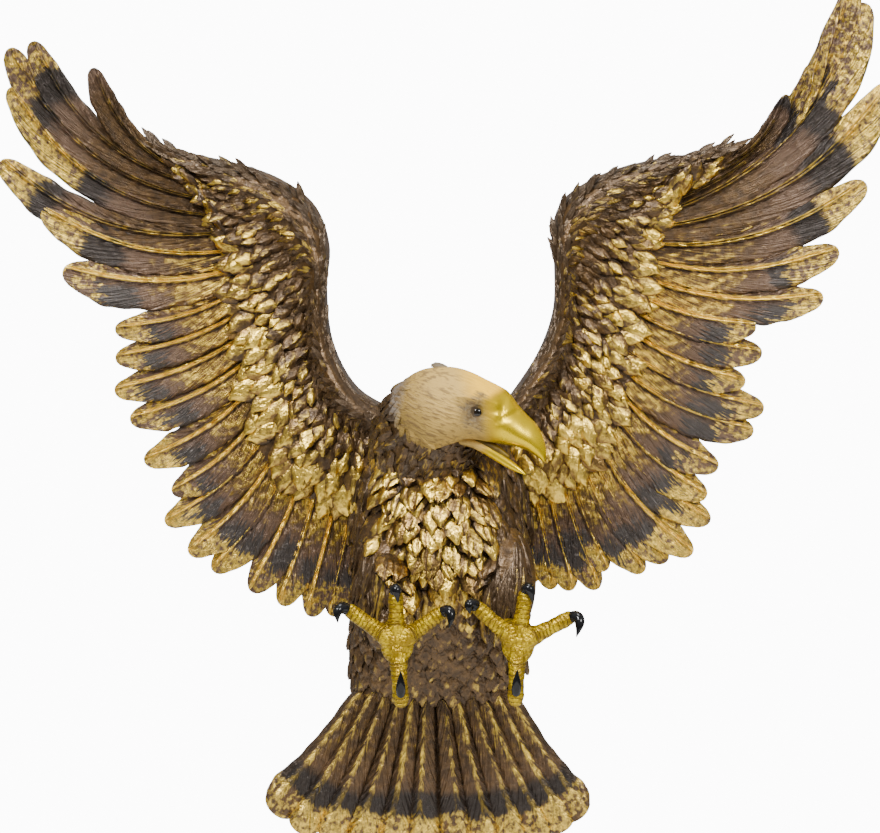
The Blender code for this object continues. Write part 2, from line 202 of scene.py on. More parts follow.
def egg(name, centre, radii, segments=24, rings=16):
    """An egg shape: a muscle, a sole or an eye."""
    deselect()
    bpy.ops.mesh.primitive_uv_sphere_add(segments=segments, ring_count=rings, radius=MM, location=at(*centre))
    bpy.ops.object.mode_set(mode="EDIT")
    bpy.ops.transform.resize(value=radii, center_override=at(*centre))
    return finish_by_hand(name)


SHARP_EDGE = math.radians(42.0)


class Relief:
    """Carving under way: points, faces, and for each point how it is painted.

    vane holds the place on a feather: along it from 0 to 1, across it from -1 to 1, and the feather's own
    random number. coat holds how gold it is, where its dark band lies and where its gold leaf starts, as
    shares of its length. rub_and_shading is how proud the point stands, from 0 to 1. It sets how much gold
    the point takes, and it also paints light: low values give painted shade in hollows, in gaps and where
    feathers overlap, and high ones a painted highlight.
    """

    def __init__(self):
        self.points, self.faces, self.vane, self.coat, self.rub_and_shading = [], [], [], [], []
        self.count = 0

    def add(self, points, faces, vane, coat, rub_and_shading):
        """Adds one shape."""
        self.points.append(points)
        self.faces.extend(tuple(self.count + c for c in face) for face in faces)
        self.vane.append(np.broadcast_to(vane, (len(points), 3)))
        self.coat.append(np.broadcast_to(coat, (len(points), 3)))
        self.rub_and_shading.append(np.broadcast_to(rub_and_shading, (len(points),)))
        self.count += len(points)

    def take(self, piece, gold, rub_and_shading):
        """Moves a piece that was modelled by hand into the carving."""
        points = np.array([vertex.co for vertex in piece.data.vertices])
        faces = [tuple(face.vertices) for face in piece.data.polygons]
        self.add(points, faces, (0.5, 0.9, random.random()), (gold, *SHORT), rub_and_shading)
        bpy.data.objects.remove(piece)

    def piece(self, name, material):
        """The finished mesh object, kept inside the casting's box."""
        points = np.clip(np.concatenate(self.points), EAGLE_LOW, EAGLE_HIGH)
        mesh = bpy.data.meshes.new(name)
        mesh.from_pydata(points.tolist(), [], self.faces)
        mesh.shade_smooth()
        mesh.set_sharp_from_angle(angle=SHARP_EDGE)
        for title, values in (("vane", self.vane), ("coat", self.coat)):
            layer = mesh.attributes.new(title, "FLOAT_VECTOR", "POINT")
            layer.data.foreach_set("vector", np.concatenate(values).astype(np.float32).ravel())
        layer = mesh.attributes.new("rub_and_shading", "FLOAT", "POINT")
        layer.data.foreach_set("value", np.concatenate(self.rub_and_shading).astype(np.float32))
        mesh.materials.append(material)
        piece = bpy.data.objects.new(name, mesh)
        bpy.context.scene.collection.objects.link(piece)
        return piece


def add_loft(relief, points, stations, sides, gold, rub_and_shading):
    """A closed skin over rings of points, its two ends filled."""
    faces = []
    for k in range(stations - 1):
        for i in range(sides):
            j = (i + 1) % sides
            faces.append((k * sides + i, k * sides + j, (k + 1) * sides + j, (k + 1) * sides + i))
    faces.append(tuple(range(sides))[::-1])
    faces.append(tuple(range((stations - 1) * sides, stations * sides)))
    a, b, c = (points[[face[q] for face in faces[:-2]]] for q in (0, 1, 2))
    if np.einsum("ij,ij->i", a, np.cross(b, c)).sum() < 0:
        faces = [face[::-1] for face in faces]
    u = np.repeat(np.linspace(0, 1, stations), sides)
    v = np.tile(np.linspace(-1, 1, sides), stations)
    relief.add(points, faces, np.stack((u, v, np.full(len(u), 0.5)), axis=1), (gold, *SHORT), rub_and_shading)


# Master feathers, modelled once and laid out many times

def slab(stations, columns):
    """A closed slab of half length 1 and half width 1: its points and faces."""
    deselect()
    bpy.ops.mesh.primitive_grid_add(x_subdivisions=stations, y_subdivisions=columns, size=2)
    bpy.ops.object.mode_set(mode="EDIT")
    bpy.ops.mesh.select_all(action="SELECT")
    bpy.ops.mesh.extrude_region_move(TRANSFORM_OT_translate={"value": (0.0, 0.0, 1.0)})
    bpy.ops.mesh.select_all(action="SELECT")
    bpy.ops.mesh.normals_make_consistent(inside=False)
    bpy.ops.object.mode_set(mode="OBJECT")
    master = bpy.context.object
    points = np.array([vertex.co for vertex in master.data.vertices])
    faces = [tuple(face.vertices) for face in master.data.polygons]
    bpy.data.objects.remove(master)
    return points, faces


SHAFT = 0.30


class Feather:
    """A master vane: along it from 0 at the quill to 1 at the tip, across it from -1 to 1.

    Its front has a relief, and its back is flat.
    """

    def __init__(self, stations, columns, relief, outline, round_tip, pleats=0, shaft=SHAFT, slim=1.0):
        """columns lists the places of the lines along the vane, from one edge to the other.

        round_tip says how round the tip is, from 0 to 1. shaft is where the gilt shaft lies, and slim how
        many times thinner that is than a wing feather's.
        """
        points, self.faces = slab(stations, len(columns) - 1)
        self.along = (points[:, 0] + 1) / 2
        self.across = np.interp(points[:, 1], np.linspace(-1, 1, len(columns)), columns)
        self.painted = SHAFT + (self.across - shaft) * slim
        front = points[:, 2] > 0.5
        height, rub_and_shading = relief(self.along, self.across)
        self.height = np.where(front, height, 0.0)
        self.rub_and_shading = np.where(front, np.clip(rub_and_shading, 0.0, 1.0), 0.0)
        self.outline = outline
        self.round_tip = round_tip
        self.valley = 1 - pleat(self.across, pleats) if pleats else np.zeros(len(points))

    def lay(self, relief, root, tip, half_width, thickness, facing, coat, bow=0.0, upper=1.0, tilt=0.0,
            curl=0.0, ragged=0.03):
        """Adds this vane from root to tip.

        bow bends it sideways, tilt tucks its upper edge back, curl lifts its tip, ragged waves its edge and
        cuts its tip in between the pleats.
        """
        seed = random.random()
        length = np.linalg.norm(tip - root)
        side = unit(np.cross(facing, tip - root)) * upper
        control = (root + tip) / 2 - side * (2 * bow * length)
        wave = np.sin(self.along * 19 + seed * 40 + self.across * 2) + np.sin(self.along * 37 + seed * 90)
        share = np.interp(self.along, *zip(*self.outline)) * (1 + ragged * wave * np.abs(self.across) ** 2)
        pull = self.round_tip * half_width / length * (1 - np.sqrt(1 - 0.97 * self.across ** 2))
        notch = ragged * random.uniform(0.5, 1.5) * self.valley
        u = (self.along - (pull + notch) * smooth(0.55, 1.0, self.along))[:, None]
        centre = root * (1 - u) ** 2 + control * (2 * u * (1 - u)) + tip * u ** 2
        heading = (control - root) * (1 - u) + (tip - control) * u
        sides = np.cross(facing, heading)
        sides *= upper / np.linalg.norm(sides, axis=1)[:, None]
        sides = sides * math.cos(tilt) - facing * math.sin(tilt)
        lift = self.height * thickness + curl * length * np.clip(u[:, 0], 0, 1) ** 2.2
        points = centre + sides * (self.across * share * half_width)[:, None] + facing * lift[:, None]
        vane = np.stack((self.along, self.painted, np.full(len(points), seed)), axis=1)
        relief.add(points, self.faces, vane, coat, self.rub_and_shading)


# Each relief gives how high the front stands at a place of the vane, and how proud it is taken to stand,
# which sets how much gold it takes and also its painted shade and painted highlight.

def flight_relief(u, v):
    """A flight feather: a double shaft nearer its upper edge, a cambered vane and slanting folds."""
    fade = 1 - 0.5 * u
    shaft = (bump(v, SHAFT - 0.07, 0.05) + bump(v, SHAFT + 0.07, 0.05)) * fade
    trench = (bump(v, SHAFT - 0.22, 0.07) + bump(v, SHAFT + 0.22, 0.07)) * fade
    away = np.abs(v - SHAFT)
    folds = np.sin(62 * u - 13 * away + 2 * np.sin(11 * u)) * smooth(0.20, 0.42, away) * (1 - 0.6 * u)
    edge = smooth(0.88, 1.0, np.abs(v))
    height = 0.42 + 0.30 * (1 - v ** 2) + 0.42 * shaft - 0.24 * trench + 0.12 * folds - 0.36 * edge
    # Low in the trenches, in the groove of the double shaft and at the edges under the neighbouring feathers:
    # painted shade there as well as less gold. High on the shaft and the fold crests: more gold and a painted
    # highlight.
    rub_and_shading = 0.52 + 0.5 * shaft - 0.42 * trench - 0.2 * bump(v, SHAFT, 0.03) + 0.20 * folds - 0.5 * edge
    return height * (1 - 0.35 * smooth(0.92, 1.0, u)), rub_and_shading


def leaf_relief(pleats):
    """The relief of a broad short feather: puffed up, with so many shallow pleats and a dark rim that is
    partly wash and partly painted shade.
    """
    def relief(u, v):
        ridge = pleat(v, pleats) * smooth(0.0, 0.35, u)
        rim = smooth(0.76, 1.0, np.abs(v)) + smooth(0.86, 1.0, u)
        height = 0.22 + 0.60 * np.sqrt(1 - 0.98 * v ** 2) + 0.11 * ridge
        # Darker at the rim and at the root under the row above: partly wash, partly painted shade. Lighter on
        # the pleats' ridges and towards the tip, partly a painted highlight.
        rub_and_shading = 0.22 + 0.34 * ridge + 0.18 * u - 0.42 * rim
        return height * (0.5 + 0.5 * smooth(0.0, 0.45, u)) * (1 - 0.4 * smooth(0.85, 1.0, u)), rub_and_shading
    return relief


def scale_relief(keel):
    """The relief of a small feather: its keel parts a narrow steep face from a broad one."""
    def relief(u, v):
        ridge = np.interp(v, (-1, keel, 1), (0, 1, 0))
        puff = np.sqrt(1 - 0.98 * v ** 2)
        height = (0.22 + 0.42 * puff + 0.34 * ridge) * (0.5 + 0.5 * smooth(0.0, 0.45, u))
        # proud rises towards the tip and on the keel, so the feather is painted darker at its root under the
        # row above and at its sides: painted shade, with a painted highlight on the keel, as well as the gold
        # there.
        proud = 0.42 + 0.30 * u + 0.30 * ridge
        rub_and_shading = proud - 0.55 * smooth(0.62, 1.0, np.abs(v)) - 0.2 * smooth(0.85, 1.0, u)
        return height * (1 - 0.4 * smooth(0.8, 1.0, u)), rub_and_shading
    return relief


def strand_relief(u, v):
    """A narrow feather with one keel, thin at its root and its tip."""
    keel = 1 - np.abs(v)
    height = (0.25 + 0.75 * keel) * (0.4 + 0.6 * smooth(0.0, 0.4, u)) * (1 - 0.5 * smooth(0.8, 1, u))
    # Lighter on the keel: more gold and a faint painted highlight.
    return height, 0.42 + 0.30 * keel


def pleat_columns(pleats):
    """Lines across a pleated vane, closest beside its valleys."""
    return [2 * (k + f) / pleats - 1 for k in range(pleats) for f in (0.0, 0.1, 0.28, 0.5, 0.72, 0.9)] + [1.0]


def pleated_feather(pleats):
    """A broad feather with so many pleats."""
    return Feather(8, pleat_columns(pleats), leaf_relief(pleats), LEAF_OUTLINE, 0.7, pleats)


def keeled_feather(keel, outline, round_tip):
    """A small feather with a keel at this place across it."""
    columns = (-1, -0.8, (keel - 0.8) / 2, keel, (keel + 0.8) / 2, 0.8, 1)
    return Feather(5, columns, scale_relief(keel), outline, round_tip)


# Places of lines across a vane, and outlines: place along a vane, share of its full width
FLIGHT_COLUMNS = (
    -1, -0.94, -0.84, -0.62, -0.35, -0.08, 0.08, 0.16, 0.23, 0.30, 0.37, 0.44, 0.52, 0.70, 0.86, 0.94, 1,
)
FLIGHT_OUTLINE = (
    (0.0, 0.62), (0.25, 0.84), (0.45, 0.96), (0.72, 1.0), (0.86, 0.94), (0.94, 0.80), (1.0, 0.62),
)
LEAF_OUTLINE = ((0.0, 0.60), (0.3, 0.95), (0.55, 1.0), (0.78, 0.86), (0.92, 0.60), (1.0, 0.28))
SCALE_OUTLINE = ((0.0, 0.6), (0.4, 1.0), (0.72, 0.90), (0.9, 0.62), (1.0, 0.32))
ROUND_OUTLINE = ((0.0, 0.6), (0.4, 1.0), (0.75, 0.97), (0.92, 0.76), (1.0, 0.5))
STRAND_OUTLINE = ((0.0, 0.6), (0.4, 1.0), (0.75, 0.7), (1.0, 0.1))
SCALE_KEELS = (-0.35, -0.1, 0.2, 0.4)

flight_feather = Feather(50, FLIGHT_COLUMNS, flight_relief, FLIGHT_OUTLINE, 0.9)
two_pleats, three_pleats = pleated_feather(2), pleated_feather(3)
scale_feathers = [keeled_feather(keel, SCALE_OUTLINE, 0.7) for keel in SCALE_KEELS]

# The breast has twice as many pleated feathers as keeled ones
breast_feathers = [two_pleats, two_pleats, three_pleats, three_pleats, *scale_feathers[1:3]]
belly_feather = keeled_feather(0.0, ROUND_OUTLINE, 0.8)
strand_feather = Feather(4, (-1, 0, 1), strand_relief, STRAND_OUTLINE, 0.0)


SHORT_BOW = 0.06
SHORT_RAGGEDNESS = 0.04


def skin_at(surface, a, b, reach):
    """A point of a surface and the way it faces there, away from the wall."""
    here = surface(a, b)
    normal = unit(np.cross(surface(a + reach, b) - here, surface(a, b + reach) - here))
    return here, normal if normal[1] < 0 else -normal


def eased(place):
    """A place that faces the viewer more, so that a feather bridges a sharp rim."""
    return place[0], unit(place[1] + OUT_OF_WALL)


def shingle(relief, master, place, heading, length, half_width, gold, turn=0.0, lift=0.12, thickness=3.6,
            sink=1.6, curl=0.04, umber=0.0):
    """One short feather lying on a skin, its sizes in pose millimetres.

    place is a point and its normal. turn swings the feather in the skin, lift raises its tip as a share of
    its length, and sink drops its root below the skin.
    """
    here, normal = place
    level = unit(heading - normal * np.dot(heading, normal))
    level = unit(level * math.cos(turn) + np.cross(normal, level) * math.sin(turn))
    root = here - normal * sink * MM
    tip = root + (level + normal * lift) * length * MM
    coat = (min(max(gold, 0.0), 1.0), SHORT[0] + min(max(umber, 0.0), 1.0), SHORT[1])
    master.lay(
        relief, root, tip, half_width * MM, thickness * MM, normal, coat, bow=jitter(SHORT_BOW), curl=curl,
        ragged=SHORT_RAGGEDNESS,
    )


# Wings: the same places as in the casting. Edges and roots are x and z, from shoulder to hand.

LEFT_LEADING_EDGE = (
    (-30, 30), (-65, 50), (-85, 86), (-90, 128), (-88, 164), (-100, 196),
    (-128, 217), (-162, 229), (-195, 236), (-222, 243), (-240, 251),
)
LEFT_ROOT_LINE = (
    (-70, -44), (-98, -36), (-120, -27), (-136, -6), (-147, 28), (-155, 62),
    (-159, 96), (-161, 128), (-166, 160), (-177, 188), (-196, 212),
)
RIGHT_LEADING_EDGE = (
    (44, 30), (60, 50), (79, 80), (90, 112), (91, 146), (89, 174),
    (99, 201), (131, 221), (170, 232), (208, 238), (250, 250),
)
RIGHT_ROOT_LINE = (
    (66, -34), (90, -24), (110, -12), (126, 2), (141, 28), (152, 62),
    (161, 98), (163, 132), (168, 164), (186, 192), (216, 218),
)

# Tips of the long feathers from the hand to the body: x, z and share of the full width
LEFT_TIPS = (
    (-274, 302, 0.68), (-322, 323, 0.86), (-340, 318, 0.94), (-340, 287, 0.88), (-348, 229, 1.02),
    (-315, 190, 1.05), (-299, 143, 1.20), (-258, 96, 0.84), (-258, 73, 0.90), (-259, 47, 0.96),
    (-247, 24, 1.00), (-236, -9, 0.98), (-214, -34, 0.96), (-220, -58, 0.92), (-201, -83, 1.04),
    (-182, -97, 1.00), (-151, -114, 1.02), (-127, -125, 0.98), (-104, -134, 0.98), (-86, -134, 0.94),
)
RIGHT_TIPS = (
    (274, 281, 0.52), (293, 305, 0.46), (304, 321, 0.48), (326, 368, 1.00), (336, 354, 1.24),
    (359, 291, 1.16), (337, 212, 1.02), (316, 159, 1.02), (304, 122, 1.02), (251, 98, 1.00),
    (256, 77, 1.00), (243, 54, 0.96), (258, 33, 1.00), (250, 15, 1.00), (222, -14, 1.04),
    (213, -37, 1.04), (216, -57, 1.00), (202, -83, 1.02), (182, -89, 0.96), (163, -98, 0.98),
    (133, -97, 0.94), (126, -112, 0.90), (105, -113, 0.88), (90, -112, 0.84), (75, -107, 0.84),
)

# Place in the fan from the hand to the body, and where along the feather its gold leaf starts
LEFT_LEAF = ((0.0, 1.2), (0.05, 0.88), (0.105, 0.80), (0.158, 0.60), (0.21, 0.80), (1.0, 0.80))
RIGHT_LEAF = (
    (0.0, 1.0), (0.04, 0.72), (0.083, 0.64), (0.125, 0.68), (0.167, 0.68), (0.21, 0.78), (1.0, 0.80),
)

# Length of the dark band before the leaf, and where across the arm the long feathers are rooted
BAND_LENGTH = 0.16
FLIGHT_ROOT = 0.82
FLIGHT_HALF_WIDTH = 16.0
FLIGHT_THICKNESS = 7.0
FLIGHT_TILT = 0.10

# Evenly spaced from the hand to the body: sideways bow of the long feathers, and how far their tips stand
# in front of the wing's middle
FLIGHT_BOWS = ((0.13,), (0.15,), (0.10,), (0.07,), (0.09,), (0.09,), (0.04,), (0.0,))
TIP_ADVANCE = ((26,), (16,), (4,), (-4,), (-8,))

# Evenly spaced from shoulder to hand: depth of the wing's middle, and the arm's height in front of it
WING_MIDDLE_DEPTHS = ((26,), (30,), (36,), (38,), (36,))
ARM_HEIGHTS = ((34,), (29,), (24,), (19,), (9,))

# Section of the arm: share of the way from the leading edge to the feather roots, share of its height
WING_SECTION = (
    (0.0, 0.0), (0.05, 0.62), (0.17, 1.0), (0.32, 0.55), (0.55, 0.62), (0.80, 0.42),
    (1.06, 0.12), (1.06, -0.22), (0.55, -0.50), (0.12, -0.52),
)
FRONT_SECTION = WING_SECTION[:7]
ARM_STATIONS = 60
ARM_SIDES = 36
ARM_SKIN = (0.1, 0.45)

# Step between the points of the arm's skin that tell which way it faces, and where its short feathers end
WING_REACH = 0.01
HAND_END = 0.95


class Wing:
    """Where one wing's arm is: t from shoulder to hand, s from the leading edge to the feather roots.

    upper is 1 or -1, the side of each long feather that faces the hand.
    """

    def __init__(self, leading_edge, root_line, tips, leaf_starts, upper):
        self.leading_edge, self.root_line, self.tips = leading_edge, root_line, tips
        self.leaf_starts, self.upper = leaf_starts, upper

    def place(self, t, s, height_share):
        """A point of the wing at a share of the arm's height in front of its middle."""
        ax, az = along(self.leading_edge, t)
        rx, rz = along(self.root_line, t)
        depth = along(WING_MIDDLE_DEPTHS, t)[0] + height_share * along(ARM_HEIGHTS, t)[0]
        return at(ax + (rx - ax) * s, depth, az + (rz - az) * s)

    def front(self, t, s):
        """The arm's front surface."""
        return self.place(t, s, np.interp(s, *zip(*FRONT_SECTION)))

    def tip(self, order):
        """The tip of the long feather at a place in the fan, from 0 at the hand to 1 at the body."""
        x, z, _ = along(self.tips, order)
        depth = along(WING_MIDDLE_DEPTHS, 1 - order)[0] + along(TIP_ADVANCE, order)[0]
        return at(x, depth, z)


def add_arm(relief, wing):
    """The fleshy arm that carries the feathers, plain behind."""
    section = [along(WING_SECTION, i / (ARM_SIDES - 1)) for i in range(ARM_SIDES)]
    points = [wing.place(t, s, h) for t in np.linspace(0, 1, ARM_STATIONS) for s, h in section]
    add_loft(relief, np.array(points), ARM_STATIONS, ARM_SIDES, *ARM_SKIN)


def add_flight_feathers(relief, wing):
    """The fan of long feathers round the wing's edge: dark ones at the hand, gold-rooted ones below it."""
    last = len(wing.tips) - 1
    for i, (_, _, share) in enumerate(wing.tips):
        order = i / last
        primary = 1 - smooth(0.16, 0.34, order)
        leaf = np.interp(order, *zip(*wing.leaf_starts)) + jitter(0.04)
        coat = (0.85 - 0.75 * primary, leaf - BAND_LENGTH + jitter(0.06), leaf)
        flight_feather.lay(
            relief, wing.place(1.0 - order, FLIGHT_ROOT, 0.0), wing.tip(order),
            FLIGHT_HALF_WIDTH * share * MM, FLIGHT_THICKNESS * MM, OUT_OF_WALL, coat,
            bow=along(FLIGHT_BOWS, order)[0], upper=wing.upper, tilt=FLIGHT_TILT,
        )


# Narrow feathers on the arm's roll: place across it, how far they swing from the edge, how many, gold
ROLL_ROWS = (
    (0.05, 0.0, 46, 0.0), (0.08, 0.15, 46, 0.0), (0.11, 0.3, 44, 0.05), (0.15, 0.45, 42, 0.15),
    (0.19, 0.6, 40, 0.20), (0.23, 0.75, 38, 0.15), (0.27, 0.9, 36, 0.02), (0.31, 1.0, 34, 0.0),
    (0.35, 1.0, 32, 0.05),
)
ROLL_LENGTH = 16.0
ROLL_HALF_WIDTH = 3.2
ROLL_THICKNESS = 2.4
ROLL_RAGGEDNESS = 0.5

# Keeled feathers below the roll: place across the arm, length, half width, how many, gold
COVERT_ROWS = (
    (0.38, 15, 4.8, 32, 0.10), (0.45, 17, 5.6, 30, 0.28), (0.52, 19, 6.4, 28, 0.42),
    (0.60, 21, 7.2, 26, 0.58), (0.68, 23, 8.0, 25, 0.72), (0.76, 25, 8.8, 24, 0.84),
    (0.84, 27, 9.4, 22, 0.95), (0.92, 29, 10.0, 21, 1.0),
)
COVERT_THICKNESS = 5.4


def add_coverts(relief, wing):
    """The overlapping short feathers that hide the roots of the long ones."""
    for row, (s, length, half_width, count, gold) in last_first(COVERT_ROWS):
        for i in range(count):
            t = (i + 0.3 + 0.4 * (row % 2) + jitter(0.2)) / count
            if t > HAND_END:
                continue
            place = skin_at(wing.front, t, s - 0.06 + jitter(0.02), WING_REACH)
            size = random.uniform(0.82, 1.18) * (1 - 0.2 * t)
            shingle(
                relief, random.choice(scale_feathers), place, wing.tip(1 - t) - place[0], length * size,
                half_width * size, gold * (1.1 - 0.6 * t) + jitter(0.35), turn=jitter(0.5),
                thickness=COVERT_THICKNESS, umber=1.2 - 3 * s + jitter(0.3),
            )


def add_roll_feathers(relief, wing):
    """The small narrow feathers on the arm, along it at its edge and swinging across it further in.

    A patch at the wrist has more gold, and towards the hand the feathers of the edge stand up.
    """
    for row, (s, swing, count, gold) in last_first(ROLL_ROWS):
        for i in range(count):
            t = (i + 0.5 * (row % 2) + jitter(0.3)) / count
            if not 0.0 < t < HAND_END:
                continue
            place = skin_at(wing.front, t, s, WING_REACH)
            onwards = unit(wing.front(min(t + 0.02, 1.0), s) - wing.front(t - 0.02, s))
            across = unit(wing.tip(1 - t) - place[0])
            size = random.uniform(0.8, 1.2)
            wrist = 0.5 * bump(t, 0.55, 0.16) * bump(s, 0.19, 0.06)
            loose = ROLL_RAGGEDNESS * random.random() * (s < 0.1) * smooth(0.35, 0.6, t)
            shingle(
                relief, strand_feather, place, onwards * (1 - swing) + across * swing, ROLL_LENGTH * size,
                ROLL_HALF_WIDTH * size, gold + wrist + jitter(0.3), turn=jitter(0.4), lift=0.05 + loose,
                thickness=ROLL_THICKNESS, sink=1.0, curl=0.02, umber=1.1 - 4 * s + jitter(0.3),
            )


# Body

# Trunk from neck to rump: height, middle x, half width, depth
TRUNK_SECTIONS = (
    (50, -2, 26, 52), (36, 0, 50, 74), (12, 0, 64, 88), (-20, 0, 71, 97), (-60, 0, 74, 100),
    (-98, 0, 73, 94), (-130, -1, 72, 78), (-165, -2, 72, 58), (-200, -4, 67, 40), (-222, -4, 56, 26),
)
TRUNK_SIDES = 40
TRUNK_BACK_POINTS = 8
TRUNK_RINGS = 60

# Share of its half width within which the trunk's front is followed: at its very edge it faces sideways
FLANK_LIMIT = 0.985

# The moulded slot in the back, in metres
HANGING_SLOT_SIZE = (0.022, 0.024, 0.034)
HANGING_SLOT_MIDDLE = 0.027

# Thighs: middle and radii
THIGHS = (((-38, 62, -104), (28, 34, 46)), ((50, 62, -104), (26, 34, 46)))


def trunk_size(z):
    """Middle x, half width and depth of the trunk's front at height z."""
    heights = [-section[0] for section in TRUNK_SECTIONS]
    return [np.interp(-z, heights, [section[k] for section in TRUNK_SECTIONS]) for k in (1, 2, 3)]


def body_skin(x, z):
    """The front of trunk and thighs at x and z."""
    middle, half, depth = trunk_size(z)
    offset = min(abs(x - middle) / half, FLANK_LIMIT)
    front = depth * math.sqrt(1 - offset * offset)
    for (cx, cd, cz), (rx, rd, rz) in THIGHS:
        inside = 1 - ((x - cx) / rx) ** 2 - ((z - cz) / rz) ** 2
        if inside > 0:
            front = max(front, cd + rd * math.sqrt(inside))
    return at(x, front, z)


def side_skin(angle, z):
    """The trunk's skin, by the angle round it from the wall on the viewer's right."""
    middle, half, depth = trunk_size(z)
    return at(middle + half * math.cos(angle), depth * math.sin(angle), z)


def add_trunk(relief):
    """Breast, belly and rump, flat where they meet the wall, with the slot cut into the back."""
    points = []
    for z in np.linspace(TRUNK_SECTIONS[0][0], TRUNK_SECTIONS[-1][0], TRUNK_RINGS):
        middle, half, _ = trunk_size(z)
        points += [side_skin(angle, z) for angle in np.linspace(0, math.pi, TRUNK_SIDES - TRUNK_BACK_POINTS)]
        for share in np.linspace(-1, 1, TRUNK_BACK_POINTS + 2)[1:-1]:
            points.append(at(middle + half * share, 0.0, z))
    skin = Relief()
    add_loft(skin, np.array(points), TRUNK_RINGS, TRUNK_SIDES, *PLAIN_SKIN)
    trunk = skin.piece("trunk", plumage)
    deselect()
    bpy.ops.mesh.primitive_cube_add(size=1)
    bpy.ops.transform.resize(value=HANGING_SLOT_SIZE)
    bpy.ops.transform.translate(value=(0.0, 0.0, HANGING_SLOT_MIDDLE))
    pocket = finish_by_hand("pocket")
    modify(trunk, "BOOLEAN", operation="DIFFERENCE", solver="EXACT", object=pocket)
    bpy.data.objects.remove(pocket)
    relief.take(trunk, *PLAIN_SKIN)


# Breast feathers: z of the row, half the row's width, how many, length, half width, gold in the middle
BREAST_ROWS = (
    (34, 56, 11, 24, 8.0, 0.05), (23, 60, 11, 24, 8.5, 0.05), (12, 62, 11, 25, 9.0, 0.10),
    (2, 62, 11, 26, 9.4, 0.35), (-8, 62, 11, 26, 9.8, 0.80), (-18, 62, 11, 26, 9.8, 1.0),
    (-28, 62, 11, 26, 9.8, 0.9), (-38, 62, 11, 26, 9.8, 0.85), (-48, 62, 11, 26, 9.8, 0.85),
    (-58, 62, 11, 26, 9.8, 0.85), (-68, 62, 11, 26, 9.6, 0.85), (-78, 62, 11, 26, 9.4, 0.85),
    (-88, 62, 11, 25, 9.2, 0.85), (-98, 61, 11, 24, 9.0, 0.80), (-108, 60, 11, 23, 8.8, 0.65),
    (-117, 60, 11, 22, 8.6, 0.35),
)
BREAST_THICKNESS = 6.0

# The gold patch of the breast: its middle, its half width, the heights that it narrows beyond, and how wide
# its blurred edge is
BREAST_MIDDLE = -3.0
BREAST_HALF_WIDTH = 49.0
BREAST_UPPER, BREAST_LOWER = -30.0, -70.0
BREAST_NARROWING = 0.22
BREAST_BLUR = 12.0

# Belly feathers: z of the row, half the row's width, how many, gold
BELLY_ROWS = (
    (-124, 68, 12, 0.35), (-133, 68, 12, 0.18), (-142, 68, 12, 0.08), (-151, 68, 12, 0.05),
    (-160, 68, 12, 0.05), (-169, 67, 12, 0.05), (-178, 66, 12, 0.05), (-187, 62, 10, 0.10),
)
BELLY_LENGTH = 18.0
BELLY_HALF_WIDTH = 7.2

# Strands lie where the Y of the skin's normal is below this, so not on the steepest sides
STEEPEST = -0.2
STRAND_THICKNESS = 4.0
STRAND_LIFT = 0.03
BREAST_STRAND_STRETCH = 1.2
BREAST_STRAND_HALF_WIDTH = 4.6

# Where the Z of the skin's normal is above this, the skin is a sharp rim
UPRIGHT = 0.45

# Steps between the skin's points that tell which way it faces: in pose millimetres, and in radians
BODY_REACH = 3.0
SIDE_REACH = 0.05


def add_belly_feathers(relief):
    """Small brown feathers down the belly."""
    for row, (z, reach, count, gold) in last_first(BELLY_ROWS):
        for i in range(count):
            x = reach * staggered(i, row, count) + jitter(2)
            size = random.uniform(0.8, 1.2)
            shingle(
                relief, belly_feather, skin_at(body_skin, x, z + jitter(2), BODY_REACH),
                DOWN + RIGHT * x * 0.003, BELLY_LENGTH * size, BELLY_HALF_WIDTH * size, gold + jitter(0.12),
                turn=jitter(0.35), lift=0.13,
            )


def add_breast_feathers(relief):
    """Broad gold feathers on the breast, and dark strands beside them."""
    for row, (z, reach, count, length, half_width, gold) in last_first(BREAST_ROWS):
        for i in range(count):
            x = reach * staggered(i, row, count) + jitter(4)
            size = random.uniform(0.8, 1.15)
            beyond = max(0.0, BREAST_LOWER - z) + max(0.0, z - BREAST_UPPER)
            edge = BREAST_HALF_WIDTH - BREAST_NARROWING * beyond
            middle = 1 - smooth(edge - BREAST_BLUR, edge, abs(x - BREAST_MIDDLE))
            place = skin_at(body_skin, x, z + jitter(4), BODY_REACH)
            if place[1][2] > UPRIGHT:
                place = eased(place)
            if middle > 0.2:
                shingle(
                    relief, random.choice(breast_feathers), place, DOWN + RIGHT * x * 0.006, length * size,
                    half_width * size, gold * (0.1 + 0.9 * middle) + jitter(0.2), turn=jitter(0.35),
                    lift=0.07 + 0.15 * middle, thickness=BREAST_THICKNESS, curl=0.06 * middle,
                    umber=1.2 - 2.0 * gold,
                )
            elif place[1][1] < STEEPEST:
                shingle(
                    relief, strand_feather, eased(place), DOWN, length * size * BREAST_STRAND_STRETCH,
                    BREAST_STRAND_HALF_WIDTH, 0.12 + jitter(0.3), turn=jitter(0.15), lift=STRAND_LIFT,
                    thickness=STRAND_THICKNESS, umber=0.6,
                )


# Feathers on the trunk's sides: angles round it from the wall, step of every other row, heights
SIDE_ANGLES = (0.16, 0.36, 0.56, 0.76)
SIDE_STEP = 0.1
SIDE_HEIGHTS = range(-190, 10, 12)


